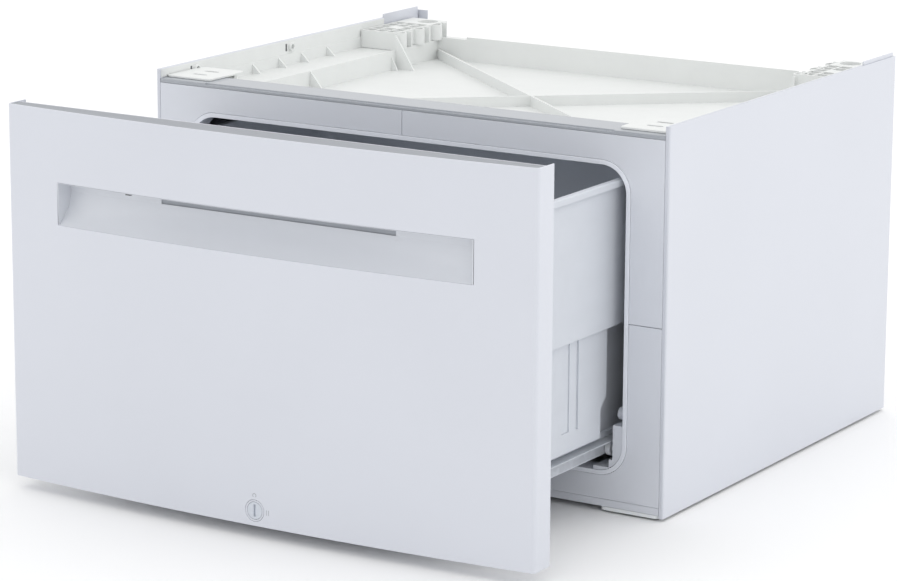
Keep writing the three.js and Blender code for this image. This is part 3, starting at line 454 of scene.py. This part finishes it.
def zinc(name, colour):
    """Zinc plating: a spangle of flat crystals and fine rolling lines."""
    finish = Finish(name)
    place = finish.place()
    crystals = finish.add("ShaderNodeTexVoronoi", None, {"Vector": place, "Scale": 170.0}, output="Color")
    tone = finish.add("ShaderNodeSeparateColor", None, {"Color": crystals})
    rolled = finish.noise(60, 3.0, finish.stretched((40, 1, 40)))
    scuff = finish.ramp(finish.noise(30, 6.0), 0.55, 0.7)
    base = finish.mix(tone * 0.7, shade(colour, 0.86), shade(colour, 1.05))
    base = finish.mix(scuff * 0.3, base, shade(colour, 0.75))
    normal = finish.bump(rolled, 0.12, 0.1 * MM)
    rough = 0.36 + tone * 0.16 + scuff * 0.1
    return finish.surface(Base_Color=base, Metallic=0.35, Roughness=rough, Normal=normal)


def rubber(name, colour):
    """Matt rubber with a pebbled skin and some dust."""
    finish = Finish(name)
    pebbles = finish.noise(1100, 3.0)
    dust = finish.ramp(finish.noise(90, 6.0), 0.45, 0.7)
    base = finish.mix(dust * 0.4, colour, shade(colour, 1.35))
    normal = finish.bump(pebbles, 0.35, 0.2 * MM)
    return finish.surface(Base_Color=base, Roughness=0.82 + dust * 0.1, Normal=normal)


def satin_metal(name, colour):
    """The lock's satin plating, turned on its face."""
    finish = Finish(name)
    x, _, z = finish.axes()
    rise = z - LOCK_Z
    radius = (x * x + rise * rise) ** 0.5
    rings = finish.add("ShaderNodeMath", {"operation": "SINE"}, {0: radius * TURNING_LINES})
    smudge = finish.noise(240, 3.0)
    base = finish.mix(smudge, shade(colour, 0.9), shade(colour, 1.04))
    normal = finish.bump(rings, 0.08, 0.05 * MM)
    return finish.surface(Base_Color=base, Metallic=0.35, Roughness=0.32 + smudge * 0.12, Normal=normal)


def studio_floor(name, colour):
    """A pale sheet of matt board."""
    finish = Finish(name)
    fibres = finish.noise(300, 4.0)
    cloud = finish.noise(1.4, 2.0)
    base = finish.mix(cloud, shade(colour, 0.99), colour)
    normal = finish.bump(fibres, 0.05, 0.1 * MM)
    return finish.surface(Base_Color=base, Roughness=0.9, Normal=normal, Specular_IOR_Level=0.2)


def lock_marks(finish):
    """Two plain printed marks beside the lock: an open ring above it and two strokes to its right."""
    x, _, z = finish.axes()
    up = z - (LOCK_Z + RING_RISE)
    radius = (x * x + up * up) ** 0.5
    ring = (radius > RING_INNER) * (radius < RING_OUTER) * (up > -RING_INNER)
    level = abs(z - LOCK_Z) < STROKE_HALF_HEIGHT
    strokes = (abs(abs(x - STROKES_PLACE) - STROKE_OFFSET) < STROKE_HALF_WIDTH) * level
    return (ring + strokes) * MARK_STRENGTH


FINISH_MAKERS = {
    "painted_white": lambda c: enamel("painted_white", c.enamel),
    "marked_white": lambda c: enamel("marked_white", c.enamel, marks=lock_marks),
    "cover_white": lambda c: enamel("cover_white", c.cover, 0.36),
    # painted shade and reflection: the rail is the cabinet's enamel coloured darker for its up-facing top
    "rail_grey": lambda c: enamel("rail_grey", c.rail, 0.42),
    "grip_white": lambda c: enamel("grip_white", c.grip, 0.34),
    # painted reflection: the cap is grey for the dark reflection on the drawer front's top
    "cap_grey": lambda c: moulding("cap_grey", c.cap, 0.42, 1800, 0.06, (1, 8, 8)),
    "tray_white": lambda c: moulding("tray_white", c.tray, 0.46, 1200, 0.12, (1, 2.5, 1)),
    "tub_grey": lambda c: moulding("tub_grey", c.tub, 0.4, 1400, 0.1, (1, 1, 3)),
    "zinc_steel": lambda c: zinc("zinc_steel", c.zinc),
    "bracket_white": lambda c: moulding("bracket_white", c.bracket, 0.38, 1600, 0.08),
    "liner_white": lambda c: moulding("liner_white", c.liner, 0.34, 1600, 0.06),
    # painted shade: the strip behind the finger slot is grey for the shade inside the drawer front
    "slot_backing_shade": lambda c: moulding("slot_backing_shade", c.backing, 0.5, 1500, 0.06),
    # painted shade: a matt dark finish on the sheets and blocks that stand for the shade in slots and the
    # vent
    "painted_slot_shade": lambda c: rubber("painted_slot_shade", c.void),
    "roller_white": lambda c: moulding("roller_white", c.roller, 0.3, 2200, 0.04),
    "shoe_grey": lambda c: moulding("shoe_grey", c.shoe, 0.55, 900, 0.2),
    "rubber_grey": lambda c: rubber("rubber_grey", c.rubber),
    "lock_grey": lambda c: satin_metal("lock_grey", c.lock),
    "studio_floor": lambda c: studio_floor("studio_floor", c.floor),
}

MADE = {}


def finish_named(name):
    """A finish's material, made the first time that it is asked for."""
    if name not in MADE:
        MADE[name] = FINISH_MAKERS[name](colours())
    return MADE[name]


# ---------------------------------------------------------------- mesh work
def bow(x):
    """How far the drawer's face stands back at x from its foremost line."""
    return BOW_RADIUS - math.sqrt(BOW_RADIUS ** 2 - x ** 2)


def copied(node):
    """A frame node's mesh as a bmesh, with its loose triangles merged and its flat faces made whole."""
    bm = bmesh.new()
    bm.from_mesh(frame["nodes"][node].data)
    bmesh.ops.remove_doubles(bm, verts=bm.verts, dist=MERGE_DISTANCE)
    bmesh.ops.dissolve_limit(bm, angle_limit=FLAT_ANGLE, verts=bm.verts, edges=bm.edges)
    bm.faces.layers.float.new(EDGE_HIGHLIGHT_ATTRIBUTE)
    return bm


def corner_edges(bm, wanted=None):
    """The edges between faces that turn sharply, or those of them that wanted accepts."""
    sharp = [edge for edge in bm.edges if edge.is_manifold and edge.calc_face_angle(0) > ROUND_ANGLE]
    return [edge for edge in sharp if wanted is None or wanted(edge)]


def middle(edge):
    return (edge.verts[0].co + edge.verts[1].co) / 2


def rounded(bm, edges, width, segments=2):
    """Rounds the edges, and marks the new faces for the painted highlight on edges."""
    if not edges:
        return
    made = bmesh.ops.bevel(
        bm, geom=edges, offset=width, offset_type="OFFSET", segments=segments, profile=0.5,
        affect="EDGES", clamp_overlap=True, material=-1)
    layer = bm.faces.layers.float[EDGE_HIGHLIGHT_ATTRIBUTE]
    for face in made["faces"]:
        face[layer] = 1.0


def piece(bm, name, body, slot, finish=None, replaces=()):
    """Turns a bmesh into a finished piece that rides on a body."""
    bmesh.ops.dissolve_degenerate(bm, dist=MERGE_DISTANCE, edges=bm.edges)
    for face in bm.faces:
        face.smooth = True
    for edge in bm.edges:
        edge.smooth = not edge.is_manifold or edge.calc_face_angle(0) < ROUND_ANGLE
    mesh = bpy.data.meshes.new(name)
    bm.to_mesh(mesh)
    bm.free()
    thing = bpy.data.objects.new(name, mesh)
    bpy.context.scene.collection.objects.link(thing)
    thing.data.materials.append(finish_named(finish or slot))
    even = thing.modifiers.new("even_normals", "WEIGHTED_NORMAL")
    even.keep_sharp = True
    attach(thing, body)
    if replaces:
        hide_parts(*replaces)
    return thing


def dressed(node, width, segments=2, finish=None, first=None):
    """A frame node with its edges rounded; first may round some of them differently before."""
    bm = copied(node)
    if first:
        first(bm)
    rounded(bm, corner_edges(bm), width, segments)
    return piece(bm, f"{node}_shape", BODIES[node], SLOTS[node], finish, (node,))


def dressed_pair(name, width, segments=2):
    for side, _ in SIDES:
        dressed(f"{name}_{side}", width, segments)


def joined(parts):
    """One bmesh from several."""
    whole = bmesh.new()
    whole.faces.layers.float.new(EDGE_HIGHLIGHT_ATTRIBUTE)
    for part in parts:
        mesh = bpy.data.meshes.new("part")
        part.to_mesh(mesh)
        part.free()
        whole.from_mesh(mesh)
        bpy.data.meshes.remove(mesh)
    return whole


def turned(profile, place, steps=24):
    """A closed solid of revolution: its profile is radius and height, and place puts its axis."""
    bm = bmesh.new()
    bm.faces.layers.float.new(EDGE_HIGHLIGHT_ATTRIBUTE)
    verts = [bm.verts.new((radius, 0, height)) for radius, height in profile]
    edges = [bm.edges.new(pair) for pair in zip(verts, verts[1:])]
    bmesh.ops.spin(
        bm, geom=verts + edges, cent=(0, 0, 0), axis=(0, 0, 1), angle=math.tau, steps=steps, use_merge=True)
    bmesh.ops.remove_doubles(bm, verts=bm.verts, dist=MERGE_DISTANCE)
    bmesh.ops.recalc_face_normals(bm, faces=bm.faces)
    bmesh.ops.transform(bm, matrix=place, verts=bm.verts)
    return bm


def block(low, high, width=0.0, segments=2):
    """A box between two corners, with rounded edges."""
    bm = bmesh.new()
    bm.faces.layers.float.new(EDGE_HIGHLIGHT_ATTRIBUTE)
    bmesh.ops.create_cube(bm, size=1.0)
    low, high = Vector(low), Vector(high)
    size = Matrix.Diagonal((*(high - low), 1))
    bmesh.ops.transform(bm, matrix=Matrix.Translation((low + high) / 2) @ size, verts=bm.verts)
    if width:
        rounded(bm, list(bm.edges), width, segments)
    return bm


def facing(direction, place):
    """A matrix that turns +Z to a direction and moves to a place."""
    turn = Vector(direction).to_track_quat("Z", "Y").to_matrix().to_4x4()
    return Matrix.Translation(place) @ turn


def screw(place, direction, radius):
    """A hexagon head with a washer."""
    rim = ((0, 0), (radius, 0), (radius, 0.3 * MM), (radius * 0.94, 0.4 * MM), (0, 0.4 * MM))
    washer = turned(rim, facing(direction, place))
    head = bmesh.new()
    head.faces.layers.float.new(EDGE_HIGHLIGHT_ATTRIBUTE)
    bmesh.ops.create_cone(
        head, cap_ends=True, segments=6, radius1=radius * 0.66, radius2=radius * 0.62, depth=0.9 * MM,
        matrix=facing(direction, Vector(place) + Vector(direction) * 0.75 * MM))
    rounded(head, list(head.edges), 0.15 * MM, 1)
    return [washer, head]


# ---------------------------------------------------------------- pieces of the cabinet
class PEDESTAL_OT_side_panels(bpy.types.Operator):
    """Side panels with their folded front edges"""

    bl_idname = "pedestal.side_panels"
    bl_label = "Side panels"

    def execute(self, context):
        dressed_pair("side_panel", sizes().sheet_edge, 3)
        return {"FINISHED"}


def panel_fields():
    """Two upright fields, pressed out of the rear panel."""
    for middle_x in (-FIELD_PLACE, FIELD_PLACE):
        yield block(
            (middle_x - FIELD_HALF_WIDTH, REAR_HIGH.y - FIELD_DEPTH, REAR_LOW.z + FIELD_END),
            (middle_x + FIELD_HALF_WIDTH, REAR_HIGH.y + FIELD_DEPTH, REAR_HIGH.z - FIELD_END),
            FIELD_DEPTH * FIELD_ROUNDING, 3)


class PEDESTAL_OT_rear_wall(bpy.types.Operator):
    """Rear panel with pressed fields and screws, and the stop tabs above it"""

    bl_idname = "pedestal.rear_wall"
    bl_label = "Rear wall"

    def execute(self, context):
        bm = copied("rear_panel")
        rounded(bm, corner_edges(bm), sizes().sheet_edge)
        piece(bm, "rear_panel_shape", "cabinet", SLOTS["rear_panel"], replaces=("rear_panel",))
        fields = joined(list(panel_fields()))
        piece(fields, "rear_panel_fields", "cabinet", SLOTS["rear_panel"])
        for side, _ in SIDES:
            dressed(f"rear_stop_tab_{side}", sizes().sheet_edge, 2, "painted_white")
        heads = []
        reach = REAR_HIGH.z - REAR_LOW.z - 2 * SCREW_END
        for _, side in SIDES:
            for step in range(SCREW_ROWS):
                rise = REAR_LOW.z + SCREW_END + step * reach / (SCREW_ROWS - 1)
                place = (side * (REAR_HIGH.x - SCREW_INSET), REAR_HIGH.y, rise)
                heads += screw(place, (0, 1, 0), sizes().screw_radius)
        piece(joined(heads), "rear_screws", "cabinet", "zinc_steel")
        return {"FINISHED"}


class PEDESTAL_OT_base_frame(bpy.types.Operator):
    """Base rails and corner posts"""

    bl_idname = "pedestal.base_frame"
    bl_label = "Base frame"

    def execute(self, context):
        for node in ("front_base_rail", "rear_base_rail"):
            dressed(node, sizes().sheet_edge)
        for name in ("side_base_rail", "front_post", "rear_post"):
            dressed_pair(name, sizes().sheet_edge)
        return {"FINISHED"}


class PEDESTAL_OT_top_rail(bpy.types.Operator):
    """Painted rail across the top of the front"""

    bl_idname = "pedestal.top_rail"
    bl_label = "Top rail"

    def execute(self, context):
        dressed("front_top_rail", sizes().sheet_edge, 3)
        return {"FINISHED"}


class PEDESTAL_OT_front_covers(bpy.types.Operator):
    """Four L-shaped covers around the opening"""

    bl_idname = "pedestal.front_covers"
    bl_label = "Front covers"

    def execute(self, context):
        for height in ("upper", "lower"):
            dressed_pair(f"front_cover_{height}", sizes().sheet_edge, 3)
        return {"FINISHED"}


class PEDESTAL_OT_liner(bpy.types.Operator):
    """Moulded liner of the opening"""

    bl_idname = "pedestal.liner"
    bl_label = "Opening liner"

    def execute(self, context):
        dressed("opening_liner", sizes().moulded_edge, 3, "liner_white")
        return {"FINISHED"}


def clip_ring(place, direction):
    """A round clip that stands out of a wall."""
    radius = sizes().clip_radius
    bore = radius * CLIP_BORE_SHARE
    profile = (
        (bore, 0), (radius, 0), (radius, CLIP_HEIGHT - CLIP_OUTER_CHAMFER),
        (radius - CLIP_OUTER_CHAMFER, CLIP_HEIGHT), (bore + CLIP_INNER_CHAMFER, CLIP_HEIGHT),
        (bore, CLIP_HEIGHT - CLIP_INNER_CHAMFER), (bore, 0))
    return turned(profile, facing(direction, place))


class PEDESTAL_OT_top_tray(bpy.types.Operator):
    """Moulded tray between the machine's supports, with its clips"""

    bl_idname = "pedestal.top_tray"
    bl_label = "Top tray"

    def execute(self, context):
        dressed("top_tray", sizes().moulded_edge)
        thick, edge = TRAY_WALL, sizes().moulded_edge
        base = TRAY_HIGH.z - TRAY_WALL_OVERLAP
        walls, rings, slots = [], [], []
        for _, side in SIDES:
            outer, inner = side * (TRAY_HIGH.x - edge / 2), side * (TRAY_HIGH.x - thick)
            near, far = min(outer, inner), max(outer, inner)
            rim = PANEL_HIGH.z - edge
            walls.append(block((near, TRAY_LOW.y + edge, base), (far, TAB_LOW.y - thick, rim), edge / 2))
            walls.append(block(
                (near, RAIL_LOW.y + thick, RAIL_HIGH.z + edge), (far, TRAY_LOW.y + 2 * edge, rim), edge / 2))
            for place in CLIP_PLACES:
                middle_z = base + CLIP_RISE
                rings.append(clip_ring(Vector((inner, place + CLIP_OFFSET, middle_z)), (-side, 0, 0)))
                # painted shade: each clip slot is a thin dark sheet in the wall, not an opening
                slot_end = place - CLIP_SLOT_OFFSET
                slots.append(block(
                    (inner - CLIP_SLOT_SKIN, slot_end - CLIP_SLOT_WIDTH, middle_z - CLIP_SLOT_HALF_HEIGHT),
                    (inner + CLIP_SLOT_SKIN, slot_end, middle_z + CLIP_SLOT_HALF_HEIGHT)))
        piece(joined(walls), "tray_side_walls", "cabinet", SLOTS["top_tray"])
        piece(joined(rings), "tray_clips", "cabinet", SLOTS["top_tray"])
        piece(joined(slots), "tray_clip_slot_shades", "cabinet", SLOTS["top_tray"], "painted_slot_shade")
        return {"FINISHED"}


class PEDESTAL_OT_machine_supports(bpy.types.Operator):
    """Four level supports for the machine's feet"""

    bl_idname = "pedestal.machine_supports"
    bl_label = "Machine supports"

    def execute(self, context):
        dressed_pair("rear_machine_support", sizes().moulded_edge)
        radius = sizes().pocket_radius
        low, high = SUPPORT_LOW.z + POCKET_FOOT, SUPPORT_HIGH.z - POCKET_TOP
        floor = high - POCKET_DEPTH
        profile = ((0, low), (radius, low), (radius, high), (radius - POCKET_WALL, high),
                   (radius - POCKET_WALL, floor), (0, floor))
        pockets = []
        for _, side in SIDES:
            for place in POCKET_PLACES:
                y = SUPPORT_LOW.y + place
                pockets.append(turned(profile, Matrix.Translation((side * SUPPORT_SIDE, y, 0))))
                ends = sorted((side * SUPPORT_SIDE, side * (SUPPORT_SIDE - radius * RIB_SHARE)))
                rib = y + radius + RIB_GAP
                pockets.append(block((ends[0], rib, low), (ends[1], rib + POCKET_WALL, high), RIB_EDGE))
        piece(joined(pockets), "rear_support_pockets", "cabinet", SLOTS["rear_machine_support_right"])
        dressed_pair("front_machine_support", sizes().moulded_edge)
        return {"FINISHED"}


class PEDESTAL_OT_feet(bpy.types.Operator):
    """Shoes and rubber pads under the corners"""

    bl_idname = "pedestal.feet"
    bl_label = "Feet"

    def execute(self, context):
        for place in ("front", "rear"):
            dressed_pair(f"{place}_shoe", sizes().moulded_edge)
            dressed_pair(f"{place}_foot_pad", sizes().moulded_edge)
        return {"FINISHED"}


class PEDESTAL_OT_slides(bpy.types.Operator):
    """Slides on the cabinet and under the drawer"""

    bl_idname = "pedestal.slides"
    bl_label = "Slides"

    def execute(self, context):
        for name in ("cabinet_slide", "slide_bracket", "drawer_slide"):
            dressed_pair(name, sizes().sheet_edge)
        return {"FINISHED"}


class PEDESTAL_OT_guides(bpy.types.Operator):
    """Guide brackets and pegs in the opening's lower corners"""

    bl_idname = "pedestal.guides"
    bl_label = "Guide brackets"

    def execute(self, context):
        dressed_pair("guide_bracket", sizes().moulded_edge, 3)
        dressed_pair("side_peg", sizes().moulded_edge)
        return {"FINISHED"}


class PEDESTAL_OT_rollers(bpy.types.Operator):
    """Four rollers that carry the drawer"""

    bl_idname = "pedestal.rollers"
    bl_label = "Rollers"

    def execute(self, context):
        for place in ("front", "rear"):
            dressed_pair(f"{place}_roller", ROLLER_EDGE)
        return {"FINISHED"}


# ---------------------------------------------------------------- pieces of the drawer
class PEDESTAL_OT_drawer_front(bpy.types.Operator):
    """Bowed drawer front of enamelled sheet"""

    bl_idname = "pedestal.drawer_front"
    bl_label = "Drawer front"

    def execute(self, context):
        dressed("drawer_front", sizes().face_edge, 3, "marked_white")
        return {"FINISHED"}


class PEDESTAL_OT_front_lining(bpy.types.Operator):
    """Cap strip and inner panel that close the drawer front"""

    bl_idname = "pedestal.front_lining"
    bl_label = "Front lining"

    def execute(self, context):
        dressed("front_top_cap", sizes().sheet_edge)
        dressed("front_inner_panel", sizes().sheet_edge)
        return {"FINISHED"}


def grip_stations():
    """Places across the recess where its section is drawn, with lines at the ends of its slot."""
    end = GRIP_HIGH.x + GRIP_FIT - sizes().grip_wall
    lines = {-end, end, *SLOT_ENDS, SLOT_ENDS[0] + SLOT_LINE, SLOT_ENDS[1] - SLOT_LINE, SLOT_NOTCH}
    for step in range(1, GRIP_STATION_COUNT):
        x = -end + 2 * end * step / GRIP_STATION_COUNT
        if min(abs(x - line) for line in lines) > GRIP_STATION_GAP:
            lines.add(x)
    return sorted(lines)


def grip_section(x):
    """The recess's section at x, from its lower front edge up to its upper one."""
    wall = sizes().grip_wall
    front = FRONT_LOW.y + bow(x)
    back = GRIP_HIGH.y - wall
    low, high = GRIP_LOW.z - GRIP_FIT, GRIP_HIGH.z + GRIP_FIT
    sill = high - wall - sizes().grip_slot
    bend = low + GRIP_BACK_SHARE * (high - low)
    waist = low + GRIP_WAIST_SHARE * (bend - low)
    points = []
    for step in range(GRIP_CURVE_STEPS + 1):
        t = step / GRIP_CURVE_STEPS
        y = 2 * t * (1 - t) * (front + GRIP_FULLNESS * (back - front)) + (1 - t) ** 2 * front + t * t * back
        z = 2 * t * (1 - t) * waist + (1 - t) ** 2 * low + t * t * bend
        points.append((y, z))
    points += [(back, sill), (back, sill + SLOT_LINE), (back, high - wall - sizes().grip_notch)]
    points += [(back, high - wall), (back - wall, high - wall / 4), (front, high - wall / 4)]
    return points


def grip_sheet():
    """The recess as a sheet that is open to the front, with flat ends and a slot under its ceiling."""
    bm = bmesh.new()
    bm.faces.layers.float.new(EDGE_HIGHLIGHT_ATTRIBUTE)
    stations = grip_stations()
    rows = [[bm.verts.new((x, y, z)) for y, z in grip_section(x)] for x in stations]
    sill = len(rows[0]) - 6
    for left, right in zip(rows, rows[1:]):
        low_x, high_x = left[0].co.x, right[0].co.x
        inside = low_x >= SLOT_ENDS[0] - MERGE_DISTANCE and high_x <= SLOT_ENDS[1] + MERGE_DISTANCE
        notched = low_x >= SLOT_NOTCH - MERGE_DISTANCE
        for level in range(len(left) - 1):
            opened = inside and sill <= level < sill + (2 if notched else 3)
            if not opened:
                bm.faces.new((left[level], right[level], right[level + 1], left[level + 1]))
    for row in (rows[0], rows[-1]):
        bm.faces.new(row)
    return bm


def thickened(bm, wall):
    """Gives the recess's sheet a second skin behind it, kept inside the hole in the drawer's face."""
    bmesh.ops.recalc_face_normals(bm, faces=bm.faces)
    if sum(face.normal.y * face.calc_area() for face in bm.faces) > 0:
        bmesh.ops.reverse_faces(bm, faces=bm.faces)
    bm.normal_update()
    low, high = GRIP_LOW.z - GRIP_FIT, GRIP_HIGH.z + GRIP_FIT
    faces = list(bm.faces)
    rims = [edge for edge in bm.edges if edge.is_boundary]
    skin = {}
    for vert in list(bm.verts):
        place = vert.co - vert.normal * wall
        place.y = max(place.y, FRONT_LOW.y + bow(vert.co.x))
        place.z = min(max(place.z, low), high)
        skin[vert] = bm.verts.new(place)
    for face in faces:
        bm.faces.new([skin[vert] for vert in reversed(face.verts)])
    for edge in rims:
        first, second = edge.verts
        bm.faces.new((first, second, skin[second], skin[first]))
    bmesh.ops.recalc_face_normals(bm, faces=bm.faces)


class PEDESTAL_OT_grip(bpy.types.Operator):
    """Grip recess with its finger slot"""

    bl_idname = "pedestal.grip"
    bl_label = "Grip recess"

    def execute(self, context):
        recess = grip_sheet()
        wall = sizes().grip_wall
        thickened(recess, wall)
        piece(recess, "grip_recess_shape", "drawer", SLOTS["grip_recess"], "grip_white", ("grip_recess",))
        # painted shade: the vent is a dark block set into the recess's ceiling, standing for the shade in a
        # small opening
        front = FRONT_LOW.y + bow(VENT_ENDS[0])
        ceiling = GRIP_HIGH.z - wall
        vent = block(
            (VENT_ENDS[0], front + VENT_SETBACK, ceiling - VENT_DROP),
            (VENT_ENDS[1], front + VENT_DEPTH, ceiling + wall / 2))
        piece(vent, "grip_vent_shade", "drawer", SLOTS["grip_recess"], "painted_slot_shade")
        # painted shade: a grey sheet behind the finger slot stands for the shaded inside of the drawer front
        behind = GRIP_HIGH.y + BACKING_GAP
        sill = ceiling - sizes().grip_slot
        backing = block(
            (SLOT_ENDS[0], behind, sill - BACKING_OVERLAP),
            (SLOT_ENDS[1], behind + BACKING_SHEET, ceiling), BACKING_EDGE)
        piece(backing, "grip_slot_shade_backing", "drawer", SLOTS["front_top_cap"], "slot_backing_shade")
        return {"FINISHED"}


class PEDESTAL_OT_lock(bpy.types.Operator):
    """Lock with its housing, cam and nut"""

    bl_idname = "pedestal.lock"
    bl_label = "Lock"

    def execute(self, context):
        dressed("lock_housing", LOCK_HOUSING_EDGE, 2, "painted_white")
        for node in ("lock_barrel", "lock_cam", "lock_nut"):
            dressed(node, LOCK_EDGE)
        return {"FINISHED"}


def tub_rounds(bm):
    """The tub's rim and the shoulder under its smooth band, rounder than its other edges."""
    def on_step(edge):
        place = middle(edge)
        return abs(place.z - TUB_STEP) < EDGE_REACH and abs(place.x) > TUB_HIGH.x - TUB_STEP_DEPTH

    rounded(bm, corner_edges(bm, on_step), sizes().tub_shoulder, 5)
    rim = corner_edges(bm, lambda edge: abs(middle(edge).z - TUB_HIGH.z) < EDGE_REACH)
    rounded(bm, rim, sizes().tub_rim, 4)


class PEDESTAL_OT_tub(bpy.types.Operator):
    """Moulded tub that holds what is stored in the drawer"""

    bl_idname = "pedestal.tub"
    bl_label = "Tub"

    def execute(self, context):
        dressed("drawer_tub", sizes().moulded_edge, 2, first=tub_rounds)
        return {"FINISHED"}


class PEDESTAL_OT_bumpers(bpy.types.Operator):
    """Rubber bumpers behind the drawer front"""

    bl_idname = "pedestal.bumpers"
    bl_label = "Bumpers"

    def execute(self, context):
        for name in ("lower_bumper", "upper_bumper"):
            dressed_pair(name, BUMPER_EDGE, 3)
        return {"FINISHED"}


# ---------------------------------------------------------------- the studio
def area_light(name, power, size, place):
    """A soft square light that looks at the pedestal."""
    light = bpy.data.lights.new(name, "AREA")
    light.energy = power
    light.size = size
    thing = bpy.data.objects.new(name, light)
    thing.location = place
    thing.rotation_euler = (Vector(LIGHT_TARGET) - Vector(place)).to_track_quat("-Z", "Y").to_euler()
    bpy.context.scene.collection.objects.link(thing)


def camera_matrix(settings):
    """The camera's place and turn from its yaw, pitch and roll."""
    yaw, pitch = settings.yaw, settings.pitch
    ahead = Vector((-math.sin(yaw) * math.cos(pitch), math.cos(yaw) * math.cos(pitch), -math.sin(pitch)))
    level = Vector((math.cos(yaw), math.sin(yaw), 0))
    upward = level.cross(ahead)
    right = level * math.cos(settings.roll) + upward * math.sin(settings.roll)
    above = right.cross(ahead)
    turn = Matrix((right, above, -ahead)).transposed().to_4x4()
    return Matrix.Translation(settings.stand) @ turn


class PEDESTAL_OT_studio(bpy.types.Operator):
    """Pale floor, soft lights and the camera"""

    bl_idname = "pedestal.studio"
    bl_label = "Studio"

    def execute(self, context):
        scene = context.scene
        settings = studio()
        bm = bmesh.new()
        bmesh.ops.create_grid(bm, x_segments=8, y_segments=8, size=FLOOR_HALF_WIDTH)
        mesh = bpy.data.meshes.new("floor")
        bm.to_mesh(mesh)
        bm.free()
        floor = bpy.data.objects.new("floor", mesh)
        floor.data.materials.append(finish_named("studio_floor"))
        scene.collection.objects.link(floor)
        world = bpy.data.worlds.new("studio_sky")
        world.use_nodes = True
        sky = world.node_tree.nodes["Background"]
        sky.inputs["Color"].default_value = (1.0, 1.0, 1.0, 1)
        sky.inputs["Strength"].default_value = settings.sky
        scene.world = world
        area_light("key_light", settings.key, KEY_SIZE, KEY_PLACE)
        area_light("fill_light", settings.fill, FILL_SIZE, FILL_PLACE)
        camera = bpy.data.cameras.new("camera")
        camera.lens = settings.lens
        camera.sensor_width = SENSOR_WIDTH
        camera.clip_end = CLIP_END
        eye = bpy.data.objects.new("camera", camera)
        eye.matrix_world = camera_matrix(settings)
        scene.collection.objects.link(eye)
        scene.camera = eye
        scene.view_settings.view_transform = "Standard"
        return {"FINISHED"}


OPERATORS = (
    PEDESTAL_OT_side_panels,
    PEDESTAL_OT_rear_wall,
    PEDESTAL_OT_base_frame,
    PEDESTAL_OT_top_rail,
    PEDESTAL_OT_front_covers,
    PEDESTAL_OT_liner,
    PEDESTAL_OT_top_tray,
    PEDESTAL_OT_machine_supports,
    PEDESTAL_OT_feet,
    PEDESTAL_OT_slides,
    PEDESTAL_OT_guides,
    PEDESTAL_OT_rollers,
    PEDESTAL_OT_drawer_front,
    PEDESTAL_OT_front_lining,
    PEDESTAL_OT_grip,
    PEDESTAL_OT_lock,
    PEDESTAL_OT_tub,
    PEDESTAL_OT_bumpers,
    PEDESTAL_OT_studio,
)


class PEDESTAL_PT_panel(bpy.types.Panel):
    """Lists the pedestal's pieces, sizes and colours"""

    bl_label = "Laundry pedestal"
    bl_idname = "PEDESTAL_PT_panel"
    bl_space_type = "VIEW_3D"
    bl_region_type = "UI"
    bl_category = "Pedestal"

    def draw(self, context):
        layout = self.layout
        scene = context.scene
        for title, group in (("Sizes", scene.pedestal_sizes), ("Colours", scene.pedestal_colours),
                             ("Studio", scene.pedestal_studio)):
            box = layout.box()
            box.label(text=title)
            for name in group.__annotations__:
                box.prop(group, name)
        column = layout.column(align=True)
        for operator in OPERATORS:
            column.operator(operator.bl_idname)


GROUPS = (
    ("pedestal_sizes", PedestalSizes),
    ("pedestal_colours", PedestalColours),
    ("pedestal_studio", StudioSettings),
)
CLASSES = (PedestalSizes, PedestalColours, StudioSettings, *OPERATORS, PEDESTAL_PT_panel)


def register():
    for each in CLASSES:
        bpy.utils.register_class(each)
    for name, group in GROUPS:
        setattr(bpy.types.Scene, name, bpy.props.PointerProperty(type=group))


def unregister():
    for name, _ in GROUPS:
        delattr(bpy.types.Scene, name)
    for each in reversed(CLASSES):
        bpy.utils.unregister_class(each)


def main():
    register()
    for operator in OPERATORS:
        category, name = operator.bl_idname.split(".")
        getattr(getattr(bpy.ops, category), name)()


if __name__ == "__main__":
    main()
